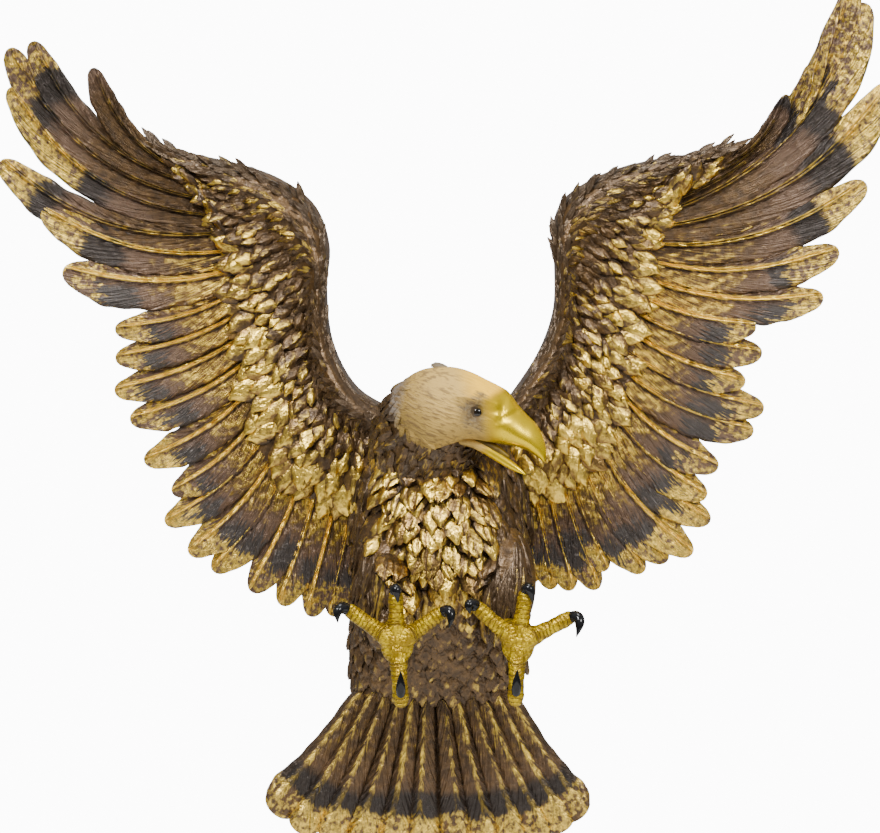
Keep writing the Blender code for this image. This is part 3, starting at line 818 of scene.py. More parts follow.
def add_side_feathers(relief):
    """Plain brown feathers on the trunk's two sides, lowest first."""
    for row, z in enumerate(SIDE_HEIGHTS):
        step = SIDE_STEP * (row % 2)
        for angle in SIDE_ANGLES:
            for turned in (angle + step, math.pi - angle - step):
                shingle(
                    relief, belly_feather, skin_at(side_skin, turned, z + jitter(2), SIDE_REACH), DOWN,
                    BELLY_LENGTH, BELLY_HALF_WIDTH, 0.05 + jitter(0.1), turn=jitter(0.3), lift=0.08,
                )


# Flank and thigh strands: x, z and length on the viewer's left, and mirrored on the right
FLANK_PLACES = (
    (-62, 20, 40), (-64, 8, 42), (-60, -4, 40), (-65, -16, 42), (-62, -28, 44), (-65, -40, 44),
    (-60, -52, 44), (-64, -64, 40), (-60, -76, 36), (-62, -88, 30), (-56, -96, 34), (-58, -104, 28),
    (-50, -100, 36), (-42, -96, 38), (-34, -100, 38), (-54, -116, 28), (-46, -118, 30), (-38, -120, 30),
    (-58, -122, 26),
)
FLANK_STRANDS = 3
FLANK_HALF_WIDTH = 4.2


def add_flanks(relief):
    """Long thin feathers down the sides and over the thighs."""
    for side in (1, -1):
        for x, z, length in FLANK_PLACES:
            for _ in range(FLANK_STRANDS):
                place = skin_at(body_skin, side * (x + jitter(4)), z + jitter(5), BODY_REACH)
                if place[1][1] > STEEPEST:
                    continue
                shingle(
                    relief, strand_feather, eased(place), DOWN, length * random.uniform(0.7, 1.1),
                    FLANK_HALF_WIDTH, 0.15 + jitter(0.35), turn=jitter(0.2), lift=STRAND_LIFT,
                    thickness=STRAND_THICKNESS, sink=0.8, curl=0.0, umber=0.5,
                )


# Neck: a collar of feathers from behind the head to the breast

NECK_LINE = ((-6, 58, -2), (-8, 80, 14), (-4, 98, 26), (6, 108, 34))
NECK_RADII = ((50,), (44,), (38,), (30,))

# Collar feathers: place along the neck from the trunk, how many, length, gold
COLLAR_ROWS = (
    (0.06, 34, 26, 0.38), (0.20, 34, 26, 0.36), (0.34, 32, 24, 0.34), (0.48, 30, 24, 0.32),
    (0.62, 28, 22, 0.26), (0.76, 26, 20, 0.18), (0.88, 24, 18, 0.10),
)
COLLAR_HALF_WIDTH = 5.0
COLLAR_THICKNESS = 3.4


def neck_skin(angle, t):
    """The neck's skin: angle round it, t from the trunk to the head."""
    here = at(*along(NECK_LINE, t))
    ahead = unit(at(*along(NECK_LINE, t + 0.02)) - at(*along(NECK_LINE, t - 0.02)))
    up = unit(np.cross(RIGHT, ahead))
    across = np.cross(up, ahead)
    radius = along(NECK_RADII, t)[0] * MM
    return here + (across * math.cos(angle) + up * math.sin(angle)) * radius


def add_collar(relief):
    """Soft brown feathers round the neck, pointing back to the body."""
    relief.take(draw_out("neck", limb_rings(NECK_LINE, NECK_RADII, 8), 16), *PLAIN_SKIN)
    for row, (t, count, length, gold) in enumerate(COLLAR_ROWS):
        for i in range(count):
            angle = 2 * math.pi * (i + 0.5 * (row % 2) + jitter(0.2)) / count
            here = neck_skin(angle, t)
            normal = unit(here - at(*along(NECK_LINE, t)))
            back = unit(neck_skin(angle, t - 0.1) - here)
            shingle(
                relief, strand_feather, (here, normal), back, length, COLLAR_HALF_WIDTH, gold + jitter(0.25),
                turn=jitter(0.35), lift=0.06, thickness=COLLAR_THICKNESS, sink=0.8, umber=0.5 + jitter(0.5),
            )


# Tail

# Tips of its feathers from the viewer's left: x and z
TAIL_TIPS = (
    (-134, -291), (-114, -306), (-90, -313), (-63, -317), (-37, -319), (-12, -319),
    (13, -319), (38, -319), (61, -316), (82, -312), (100, -305), (113, -295),
)
TAIL_ROOT_HALF_WIDTH = 58.0
TAIL_ROOT_X = -4.0
TAIL_ROOT_Z = -196.0
TAIL_HALF_WIDTH = 16.5
TAIL_THICKNESS = 10.0

# Depths at the middle of the fan, and how far its outer feathers lie behind them
TAIL_ROOT_DEPTH = 37.0
TAIL_ROOT_RECEDES = 16.0
TAIL_TIP_DEPTH = 30.0
TAIL_TIP_RECEDES = 7.0
TAIL_BOW = 0.025
TAIL_TILT = -0.06
TAIL_RAGGEDNESS = 0.02
TAIL_COLUMNS = (-1, -0.84, -0.72, -0.62, -0.5, -0.25, 0.0, 0.16, 0.28, 0.40, 0.52, 0.62, 0.72, 0.84, 1)
TAIL_SHAFT = 0.36
TAIL_OUTLINE = (
    (0.0, 0.20), (0.02, 0.36), (0.06, 0.46), (0.45, 0.62), (0.72, 0.84), (0.86, 0.98), (0.93, 0.96),
    (0.97, 0.88), (1.0, 0.76),
)


def tail_relief(u, v):
    """A tail feather: a long rounded bar, gilt and painted lighter towards its outer side as a painted
    highlight, with a dark groove at each edge that is partly painted shade between the bars.
    """
    edge = smooth(0.54, 0.74, np.abs(v))
    height = 0.20 + 0.64 * np.sqrt(1 - 0.97 * v ** 2) - 0.30 * edge
    # Higher towards the outer side and lower in the edge grooves: a painted highlight on one side of the bar
    # and painted shade between the bars, as well as the gold.
    rub_and_shading = 0.42 + 0.24 * smooth(-0.2, 0.4, v) - 0.45 * edge * (1 - 0.7 * smooth(0.78, 0.9, u))
    return height * (1 - 0.35 * smooth(0.92, 1.0, u)), rub_and_shading


tail_feather = Feather(40, TAIL_COLUMNS, tail_relief, TAIL_OUTLINE, 0.5, shaft=TAIL_SHAFT, slim=0.55)


def add_tail(relief):
    """The spread fan of the tail, its middle feathers nearest the viewer."""
    count = len(TAIL_TIPS)
    for i, (x, z) in enumerate(TAIL_TIPS):
        order = 2 * i / (count - 1) - 1
        outwards = abs(order)
        root_depth = TAIL_ROOT_DEPTH - TAIL_ROOT_RECEDES * outwards
        root = at(TAIL_ROOT_HALF_WIDTH * order + TAIL_ROOT_X, root_depth, TAIL_ROOT_Z + jitter(3))
        tip = at(x, TAIL_TIP_DEPTH - TAIL_TIP_RECEDES * outwards, z)
        half_width = TAIL_HALF_WIDTH * (1 + 0.15 * outwards ** 4)
        coat = (0.38 + jitter(0.06), 0.64 + jitter(0.03), 0.79 + jitter(0.02))
        tail_feather.lay(
            relief, root, tip, half_width * MM, TAIL_THICKNESS * MM, OUT_OF_WALL, coat,
            bow=TAIL_BOW * outwards, upper=1 if order > 0 else -1, tilt=TAIL_TILT, ragged=TAIL_RAGGEDNESS,
        )


# Head

# Its profile from nape to hook: a point of the top edge, one of the bottom edge, half the thickness there,
# and how wedge-shaped it is
HEAD_SECTIONS = (
    (-36, 38, -33, 27, 7, 0), (-37, 47, -31, 17, 17, 0), (-29, 54, -24, 9, 24, 0),
    (-20, 60.5, -17, 4.5, 28, 0), (-9.6, 64.3, -8, 0, 31, 0), (5, 65.5, 3, 3, 32, 0),
    (16, 64, 13, 7, 31.5, 0), (26, 60.5, 22, 9, 29, 0.1), (36, 55.5, 31, 8, 26, 0.25),
    (45, 51, 40, 6.5, 22.5, 0.5), (53, 46, 48, 5.2, 19, 0.7), (60, 36.5, 55, 4, 16, 0.85),
    (67, 28.5, 61, 2.6, 13.5, 1), (73.5, 22, 67, 0.5, 11, 1), (78.5, 14, 71.5, -2.2, 8.5, 1),
    (81, 6, 75.5, -4.8, 6, 1), (82, -1, 78.3, -7, 3.6, 1), (81.3, -6, 80, -8.6, 1.2, 1),
)
HEAD_RINGS = 96
HEAD_SIDES = 56

# Depth of the head's middle at the nape, and how much further from the wall it is at the hook
HEAD_DEPTH = 114.0
HEAD_ADVANCE = 8.0

# Middle of the skull in x and z, and the eye: its x and z, its radii, and how deep it is set
SKULL_MIDDLE = (-6, 31)
EYE = (28.3, 30.3)
EYE_RADII = (4.3, 2.8, 3.87)
EYE_SINK = 1.2

# Where the beak's bare horn starts, and the direction in which it points
BEAK_EDGE = 35.0
BEAK_SLANT = (0.933, -0.359)


def apart(x, z, start, end=None):
    """Distance in the head's profile from a point, or from a line between two points."""
    sx, sz = start
    ex, ez = end or start
    length = (ex - sx) ** 2 + (ez - sz) ** 2
    f = np.clip(((x - sx) * (ex - sx) + (z - sz) * (ez - sz)) / length, 0, 1) if length else 0.0
    return np.hypot(x - sx - f * (ex - sx), z - sz - f * (ez - sz))


def head_carving(x, z):
    """How far the head's sides stand out of the plain skull, in pose millimetres."""
    brow = 3.4 * bump(apart(x, z, (14, 43), (43, 37)), 0, 3.6)
    socket = -4.2 * bump(apart(x, z, EYE), 0, 7.5)
    cheek = 2.6 * bump(apart(x, z, (6, 20)), 0, 12) + 1.6 * bump(apart(x, z, (22, 15)), 0, 5)
    beak = 1.0 * smooth(BEAK_EDGE - 1.5, BEAK_EDGE + 0.5, x * BEAK_SLANT[0] + z * BEAK_SLANT[1])
    fold = 0.9 * bump(apart(x, z, (43, 26), (57, 33)), 0, 1.8)
    crease = fold - 1.5 * bump(apart(x, z, (43, 23), (59, 30)), 0, 1.5)
    nostril = -1.8 * bump(apart(x, z, (48, 30)), 0, 1.7)
    wrinkles = sum(-0.5 * bump(apart(x, z, (34 + k, 26), (36 + k, 13)), 0, 0.9) for k in (0, 2.6, 5.0))
    lids = 1.5 * bump(apart(x, z, EYE), 5.4, 1.5) * smooth(-3, 2, z - EYE[1])
    return brow + socket + cheek + beak + crease + nostril + wrinkles + lids


def add_head(relief):
    """Skull and upper beak as one skin, turned to the viewer's right. Gives its points."""
    points = []
    for k in range(HEAD_RINGS):
        f = k / (HEAD_RINGS - 1)
        tx, tz, bx, bz, half, wedge = along(HEAD_SECTIONS, f)
        for i in range(HEAD_SIDES):
            a = 2 * math.pi * i / HEAD_SIDES
            rise = 0.5 + 0.5 * math.cos(a)
            bulge = abs(math.sin(a)) ** (1 - 0.3 * wedge) * (1 + 0.25 * wedge * (1 - 2 * rise))
            x, z = bx + (tx - bx) * rise, bz + (tz - bz) * rise
            out = half * bulge + head_carving(x, z) * smooth(0.1, 0.6, abs(math.sin(a)))
            points.append(at(x, HEAD_DEPTH + HEAD_ADVANCE * f + math.copysign(out, math.sin(a)), z))
    points = np.array(points)
    add_loft(relief, points, HEAD_RINGS, HEAD_SIDES, 0.0, 0.0)
    return points


# Tufts round the back of the head: how many, first angle and sweep in degrees, radii of their arc
TUFTS = 30
TUFT_START = 118
TUFT_SWEEP = 140
TUFT_RADII = (31, 32)
TUFT_ADVANCE = 22
TUFT_LENGTH = 11
TUFT_HALF_WIDTH = 3.0
TUFT_THICKNESS = 2.4
CROWN_TUFT = (6, HEAD_DEPTH + 2, 64.5)


def add_tufts(relief, skull):
    """Tufts that break the head's edge, down the nape and under the cheek, and one on the crown."""
    middle_x, middle_z = SKULL_MIDDLE
    for i in range(TUFTS):
        angle = math.radians(TUFT_START + TUFT_SWEEP * i / (TUFTS - 1) + jitter(3))
        x = middle_x + TUFT_RADII[0] * math.cos(angle)
        z = middle_z + TUFT_RADII[1] * math.sin(angle)
        outside = at(x, HEAD_DEPTH + TUFT_ADVANCE + jitter(6), z)
        here = skull[np.argmin(np.abs(skull - outside).sum(axis=1))]
        normal = unit(here - at(middle_x, HEAD_DEPTH, middle_z))
        back = np.array((-math.sin(angle) * 0.7 - 0.5, 0.1, math.cos(angle) * 0.7 - 0.2))
        shingle(
            relief, strand_feather, (here, normal), back, TUFT_LENGTH + jitter(2), TUFT_HALF_WIDTH, 0.0,
            turn=jitter(0.3), thickness=TUFT_THICKNESS, sink=1.2, lift=0.0,
        )
    crown = at(*CROWN_TUFT), -DOWN
    shingle(relief, strand_feather, crown, -RIGHT, 13, 5, 0.0, thickness=4.2, lift=0.05, sink=0.5)


def eyeball(name, skull, side):
    """A glossy eye set into its socket, side 1 towards the viewer and -1 towards the wall."""
    near = skull[(skull[:, 1] + HEAD_DEPTH * MM) * side < 0]
    socket = near[np.argmin(np.hypot(near[:, 0] - EYE[0] * MM, near[:, 2] - EYE[1] * MM))]
    centre = (EYE[0], -socket[1] / MM - EYE_SINK * side, EYE[1])
    return egg(name, centre, EYE_RADII, 20, 12)


LOWER_BEAK_LINE = (
    (14, 119, 8), (25, 120, 6.5), (34, 121, 2.5), (43, 122, -3), (52, 123, -9), (60, 124, -14),
    (66.3, 125, -18.2),
)
LOWER_BEAK_RADII = ((2.6,), (3.8,), (4.2,), (4.1,), (3.6,), (2.5,), (0.4,))
TONGUE_LINE = ((24, 119, 9), (36, 121, 5.5), (46, 123, 0), (54, 124, -5))
TONGUE_RADII = ((3.5,), (4.0,), (3.2,), (1.0,))


# Feet: the sole's middle, then the ends of three front toes and the back toe, then their talons' points

LEFT_FOOT = (
    (-33, 130, -148),
    ((-72, 136, -120), (-34, 138, -107), (3, 136, -122), (-30, 136, -190)),
    ((-78, 147, -131), (-32, 145, -116), (7, 147, -135), (-30, 151, -167)),
)
RIGHT_FOOT = (
    (60, 130, -148),
    ((27, 136, -118), (66, 138, -106), (102, 136, -126), (58, 136, -189)),
    ((23, 146, -124), (71, 145, -116), (104, 147, -142), (59, 151, -166)),
)
SHANK_RADII = ((13.0,), (9.5,), (8.5,), (9.0,))
SOLE_RADII = (13.0, 8.5, 16.0)
TOE_RADII = ((9.0,), (6.8,), (5.6,), (5.8,), (4.4,))
BACK_TOE_RADII = ((9.0,), (6.6,), (5.8,), (6.2,), (3.6,))
BACK_TOE = 3
BACK_TOE_STRETCH = 1.15

# Share of the way along a toe, and how far it arches out there
TOE_ARCH = ((0.05, 0), (0.35, 1), (0.62, 3), (0.86, 2), (1, 0))

# Talons: their radii, how deep they are rooted in the toe, how far they bulge, and how much of that is along
# the toe
TALON_RADII = ((4.2,), (5.0,), (4.6,), (3.4,), (0.3,))
BACK_TALON_RADII = ((1.0,), (2.4,), (3.8,), (3.4,), (0.3,))
TALON_ROOT = 5.0
TALON_BULGE = 8.0
TALON_REACHES = (1.4, 1.4, 1.4, 0.0)

# The fineness at which a foot's parts are grown together
FOOT_GRAIN = 1.2


def toe_joints(t):
    """The swellings along a toe, as shares of its radius."""
    return 0.15 * abs(math.sin(t * 20))


def foot(name, thigh, shape):
    """The bare shank, the sole and four jointed toes, grown into one skin."""
    sole, ends, _ = shape
    (tx, td, tz), _ = thigh
    hock = (tx * 0.9 + sole[0] * 0.1, td + 18, tz - 30)
    ankle = [0.6 * s + 0.4 * h for s, h in zip(sole, hock)]
    shank = ((tx, td, tz - 12), hock, ankle, (sole[0], sole[1] - 4, sole[2]))
    parts = [draw_out("shank", limb_rings(shank, SHANK_RADII, 10), 12), egg("sole", sole, SOLE_RADII)]
    for order, end in enumerate(ends):
        radii, stretch = (BACK_TOE_RADII, BACK_TOE_STRETCH) if order == BACK_TOE else (TOE_RADII, 1.0)
        start, finish = np.array(sole, float), np.array(end, float)
        line = [start + (finish - start) * f * stretch + (0, rise, 0) for f, rise in TOE_ARCH]
        parts.append(draw_out("toe", limb_rings(line, radii, 24, toe_joints), 12))
    piece = join(name, parts)
    modify(piece, "REMESH", mode="VOXEL", voxel_size=FOOT_GRAIN * MM)
    modify(piece, "SMOOTH", factor=0.6, iterations=3)
    bpy.ops.object.shade_smooth()
    return piece


def talons(name, shape):
    """The four hooked talons of one foot."""
    sole, ends, hooks = shape
    parts = []
    for order, (end, hook) in enumerate(zip(ends, hooks)):
        radii = BACK_TALON_RADII if order == BACK_TOE else TALON_RADII
        finish, hook = np.array(end, float), np.array(hook, float)
        heading = unit(finish - np.array(sole, float))
        control = finish + (heading * TALON_REACHES[order] + (0, 1, 0)) * TALON_BULGE
        base = finish - heading * TALON_ROOT * min(TALON_REACHES[order], 1.0)
        curve = [base * (1 - f) ** 2 + control * 2 * f * (1 - f) + hook * f * f for f in np.linspace(0, 1, 7)]
        parts.append(draw_out("talon", limb_rings(curve, radii, 12), 12))
    return join(name, parts)


# Paint: places on the piece are in metres, and patterns follow the attributes that the carving left

class Mixer:
    """Short ways to add nodes to one material."""

    def __init__(self, name):
        self.material = bpy.data.materials.new(name)
        self.material.use_nodes = True
        self.tree = self.material.node_tree
        self.shader = self.tree.nodes["Principled BSDF"]
        self.object_place = self.tree.nodes.new("ShaderNodeTexCoord").outputs["Object"]

    def wire(self, socket, value):
        """Sets a socket to a plain value, or links it."""
        if isinstance(value, bpy.types.NodeSocket):
            self.tree.links.new(value, socket)
        else:
            socket.default_value = value

    def math(self, operation, a, b=0.0):
        """One step of arithmetic."""
        node = self.tree.nodes.new("ShaderNodeMath")
        node.operation = operation
        self.wire(node.inputs[0], a)
        self.wire(node.inputs[1], b)
        return node.outputs[0]

    def times(self, *factors):
        """All factors multiplied."""
        total = factors[0]
        for factor in factors[1:]:
            total = self.math("MULTIPLY", total, factor)
        return total

    def sum(self, *terms):
        """All terms added. A pair is a value and what it is multiplied by."""
        total = None
        for term in terms:
            if isinstance(term, tuple):
                term = self.math("MULTIPLY", *term)
            total = term if total is None else self.math("ADD", total, term)
        return total

    def rest(self, value):
        """One less the value."""
        return self.math("SUBTRACT", 1.0, value)

    def mix(self, factor, a, b):
        """Colour a, going over to b with the factor."""
        node = self.tree.nodes.new("ShaderNodeMix")
        node.data_type = "RGBA"
        for socket, value in zip([s for s in node.inputs if s.enabled], (factor, a, b)):
            self.wire(socket, value)
        return [s for s in node.outputs if s.enabled][0]

    def step(self, value, low, high):
        """0 below low, 1 above high."""
        node = self.tree.nodes.new("ShaderNodeMapRange")
        node.interpolation_type = "SMOOTHSTEP"
        for name, part in (("Value", value), ("From Min", low), ("From Max", high)):
            self.wire(node.inputs[name], part)
        return node.outputs["Result"]

    def noise(self, scale, detail=3.0, vector=None):
        """Cloudy noise between 0 and 1."""
        node = self.tree.nodes.new("ShaderNodeTexNoise")
        node.inputs["Scale"].default_value = scale
        node.inputs["Detail"].default_value = detail
        self.wire(node.inputs["Vector"], vector or self.object_place)
        return node.outputs["Fac"]

    def cells(self, scale):
        """Distance to the middle of rounded cells."""
        node = self.tree.nodes.new("ShaderNodeTexVoronoi")
        node.inputs["Scale"].default_value = scale
        self.wire(node.inputs["Vector"], self.object_place)
        return node.outputs["Distance"]

    def attribute(self, name):
        """The node that reads a value that the carving left on its points."""
        node = self.tree.nodes.new("ShaderNodeAttribute")
        node.attribute_name = name
        return node

    def parts(self, vector):
        """A vector's three parts."""
        node = self.tree.nodes.new("ShaderNodeSeparateXYZ")
        self.wire(node.inputs[0], vector)
        return node.outputs

    def vector(self, x, y, z):
        """A vector of three parts."""
        node = self.tree.nodes.new("ShaderNodeCombineXYZ")
        for socket, value in zip(node.inputs, (x, y, z)):
            self.wire(socket, value)
        return node.outputs[0]

    def bumps(self, height, distance, strength=1.0):
        """Fine relief."""
        node = self.tree.nodes.new("ShaderNodeBump")
        node.inputs["Distance"].default_value = distance
        node.inputs["Strength"].default_value = strength
        self.wire(node.inputs["Height"], height)
        self.wire(self.shader.inputs["Normal"], node.outputs[0])


DARK_BROWN = (0.034, 0.019, 0.008, 1)
DEEP_BROWN = (0.062, 0.036, 0.016, 1)
BROWN = (0.120, 0.067, 0.025, 1)
UMBER = (0.098, 0.070, 0.046, 1)
MAUVE = (0.135, 0.082, 0.052, 1)
SLATE = (0.048, 0.042, 0.038, 1)
NIGHT = (0.026, 0.021, 0.018, 1)
OLD_GOLD = (0.25, 0.148, 0.048, 1)
BRIGHT_GOLD = (0.90, 0.61, 0.10, 1)
LEAF_GOLD = (0.58, 0.39, 0.08, 1)


def antique_gold(name, mauve_share, shaft_share):
    """Bronze-brown paint with gold brushed onto what stands proud, dark bands and gold leaf on long feathers,
    painted shade in hollows and gaps and painted highlights on the proud gold.

    mauve_share is how mauve long feathers turn before the dark band, and shaft_share how bright their shafts
    are, both as gold kept through the dark band and as a painted highlight.
    """
    m = Mixer(name)
    u, v, seed = m.parts(m.attribute("vane").outputs["Vector"])
    gold, band, leaf = m.parts(m.attribute("coat").outputs["Vector"])
    rub_and_shading = m.attribute("rub_and_shading").outputs["Fac"]
    long = m.math("LESS_THAN", leaf, LONG_BELOW)
    umber = m.times(m.rest(long), m.sum(band, -SHORT[0]))
    away = m.math("ABSOLUTE", m.sum(v, -SHAFT))

    # Unevenness: on the whole piece, in hairs along a feather and in barbs slanting from its shaft
    blotch = m.noise(60, 4)
    crumple = m.noise(170, 3)
    grit = m.noise(520, 3)
    hair_width = m.sum((long, 6.0), 3.0)
    hairs = m.noise(1.0, 2, m.vector(m.times(u, 3.0), m.times(v, hair_width), m.times(seed, 60.0)))
    slanted = m.times(m.sum((u, 2.2), (away, -1.0)), m.sum((long, 9.5), 1.5))
    barbs = m.noise(1.0, 3, m.vector(slanted, m.times(v, m.sum(1.0, long)), m.times(seed, 80.0)))
    stroke = m.sum((hairs, 0.30), (barbs, 0.70), -0.5)

    # Rubbed gold: on proud places, and along a long feather from its root and down its shaft
    shaft = m.rest(m.step(away, 0.08, 0.15))
    rich = m.step(gold, 0.55, 0.8)
    line = m.times(shaft, m.sum(0.12, (gold, 0.95)))
    root_end = m.sum(u, (stroke, 0.8), (m.sum(v, 0.4), -0.15), (band, -1.0))
    root = m.times(gold, m.rest(m.step(root_end, -0.32, 0.04)))
    share = m.sum((long, m.math("MAXIMUM", root, line)), (m.rest(long), gold))
    worn = m.sum(share, (m.sum(rub_and_shading, -0.5), 0.8), (stroke, 1.2), (m.sum(crumple, -0.5), 0.8))
    gilt = m.step(worn, 0.36, 0.94)

    # Along a long feather: mauve, then the dark band, then gold leaf to the tip
    wander = m.sum(0.25, (rich, 0.75))
    far = m.sum(u, m.times(m.sum((stroke, 0.5), (m.sum(blotch, -0.5), 0.3)), wander))
    mauve = m.times(m.step(far, m.sum(band, -0.32), m.sum(band, -0.06)), mauve_share, long)
    tip = m.step(far, m.sum(leaf, -0.025), m.sum(leaf, 0.02))
    below = m.rest(m.step(m.sum(v, (m.sum(blotch, -0.5), 1.2), (m.rest(rich), -2.0)), -0.25, 0.35))
    slate = m.times(m.step(far, m.sum(band, -0.06), m.sum(band, 0.02)), below, m.rest(tip), 0.92)
    leafed = m.times(tip, m.step(m.sum(m.noise(230, 6), (m.sum(seed, -0.5), 0.14)), 0.38, 0.60))

    # Colours, one over the other
    ground = m.mix(m.step(m.sum(crumple, (stroke, 0.9)), 0.30, 0.66), DEEP_BROWN, m.mix(umber, BROWN, UMBER))
    colour = m.mix(slate, m.mix(mauve, ground, MAUVE), m.mix(rich, NIGHT, SLATE))
    own = m.times(m.rest(long), m.sum(seed, -0.5))
    bright_shaft = m.times(shaft, shaft_share)
    # Long feathers are painted slightly lighter, and their shafts more so, as a painted highlight on the
    # ridges.
    ridge = m.times(long, m.sum(0.08, (bright_shaft, 0.22)))
    # How pale the gold is: random tone from the noises and the feather's own number, and a painted highlight
    # where the point stands proud or a shaft rises.
    lit = m.sum((grit, 0.3), (crumple, 0.7), (stroke, 1.1), (m.sum(rub_and_shading, -0.6), 0.7), ridge, (own, 0.35))
    gold_and_highlight = m.mix(m.step(lit, 0.36, 0.80), OLD_GOLD, BRIGHT_GOLD)
    colour = m.mix(m.times(gilt, m.rest(m.times(slate, m.rest(bright_shaft)))), colour, gold_and_highlight)
    colour = m.mix(leafed, colour, m.mix(m.step(grit, 0.4, 0.6), LEAF_GOLD, BRIGHT_GOLD))
    # Dark brown in hollows and gaps: partly the wash of the antique paint, partly painted shade between
    # feathers and under their edges.
    wash_and_shade = m.times(m.rest(m.step(m.sum(rub_and_shading, (m.sum(crumple, -0.5), 0.3)), 0.08, 0.38)), 0.8)
    m.wire(m.shader.inputs["Base Color"], m.mix(wash_and_shade, colour, DARK_BROWN))

    matt_shaft = m.times(bright_shaft, long, 0.3)
    metal = m.times(m.math("MAXIMUM", gilt, leafed), m.rest(wash_and_shade), m.rest(matt_shaft))
    m.wire(m.shader.inputs["Metallic"], m.sum(0.50, (metal, 0.50)))
    m.wire(m.shader.inputs["Roughness"], m.sum(0.21, (grit, 0.22)))
    m.shader.inputs["Specular IOR Level"].default_value = 0.5
    barb_height, crumple_height = m.sum((long, 0.9), 0.4), m.sum((long, 0.3), 0.5)
    m.bumps(m.sum((barbs, barb_height), (hairs, 0.2), (crumple, crumple_height), (grit, 0.12)), 0.0028)
    return m.material


def glossy_paint(name, colour, second, scale, roughness, metal=0.0, unevenness=0.0, specular=0.5):
    """Paint that wanders between two colours, slightly uneven."""
    m = Mixer(name)
    m.wire(m.shader.inputs["Base Color"], m.mix(m.step(m.noise(scale, 4), 0.35, 0.65), colour, second))
    m.shader.inputs["Roughness"].default_value = roughness
    m.shader.inputs["Metallic"].default_value = metal
    m.shader.inputs["Specular IOR Level"].default_value = specular
    m.bumps(m.noise(scale * 6, 3), unevenness, 0.6)
    return m.material


FOOT_OCHRE = (0.28, 0.17, 0.0, 1)
FOOT_YELLOW = (0.60, 0.41, 0.0, 1)
FOOT_BROWN = (0.10, 0.055, 0.004, 1)

# What turns metres into pose millimetres, where the soles are, how far from their middles the rows of scales
# start, and how wide a row is
PER_MM = float(1 / MM)
FEET_MIDDLE = (LEFT_FOOT[0][0] + RIGHT_FOOT[0][0]) / 2
FEET_APART = (RIGHT_FOOT[0][0] - LEFT_FOOT[0][0]) / 2
SOLE_HEIGHT = float(LEFT_FOOT[0][2])
SOLE_EDGE = 15.5
SCALE_ROW = 1.7


def foot_paint():
    """Glossy yellow skin, in rows of scales across the toes and in grains on the soles."""
    m = Mixer("foot_paint")
    x, _, z = m.parts(m.object_place)
    aside = m.sum(m.math("ABSOLUTE", m.sum((x, PER_MM), -FEET_MIDDLE)), -FEET_APART)
    above = m.sum((z, PER_MM), -SOLE_HEIGHT)
    reach = m.math("SQRT", m.sum(m.math("POWER", aside, 2.0), m.math("POWER", above, 2.0)))
    cloud = m.noise(120, 4)
    toes = m.step(reach, SOLE_EDGE - 0.5, SOLE_EDGE + 1.5)
    groove = m.rest(m.step(m.math("PINGPONG", m.sum(reach, (cloud, 6.0)), SCALE_ROW), 0.1, 0.8))
    rim = m.rest(m.step(m.math("ABSOLUTE", m.sum(reach, -SOLE_EDGE)), 0.3, 1.4))
    grain = m.cells(430)
    dark = m.math("MAXIMUM", m.times(groove, toes, 0.55), m.times(rim, 0.65))
    colour = m.mix(m.step(m.sum(cloud, (grain, -0.35), 0.12), 0.35, 0.65), FOOT_OCHRE, FOOT_YELLOW)
    m.wire(m.shader.inputs["Base Color"], m.mix(dark, colour, FOOT_BROWN))
    m.shader.inputs["Roughness"].default_value = 0.36
    m.shader.inputs["Metallic"].default_value = 0.6
    grain_height = m.sum((toes, 0.6), -1.0)
    m.bumps(m.sum((grain, grain_height), (groove, m.times(toes, -0.8)), (rim, -0.8)), 0.0012, 0.8)
    return m.material


HEAD_TAN = (0.27, 0.170, 0.038, 1)
HEAD_CREAM = (0.52, 0.33, 0.080, 1)
HEAD_PEACH = (0.95, 0.53, 0.020, 1)
HEAD_BROWN = (0.14, 0.085, 0.030, 1)
HEAD_GREY = (0.15, 0.115, 0.070, 1)
NAPE_GREY = (0.17, 0.135, 0.105, 1)
BEAK_YELLOW = (0.76, 0.53, 0.0, 1)
BEAK_OCHRE = (0.46, 0.28, 0.0, 1)
BEAK_START = 42.0


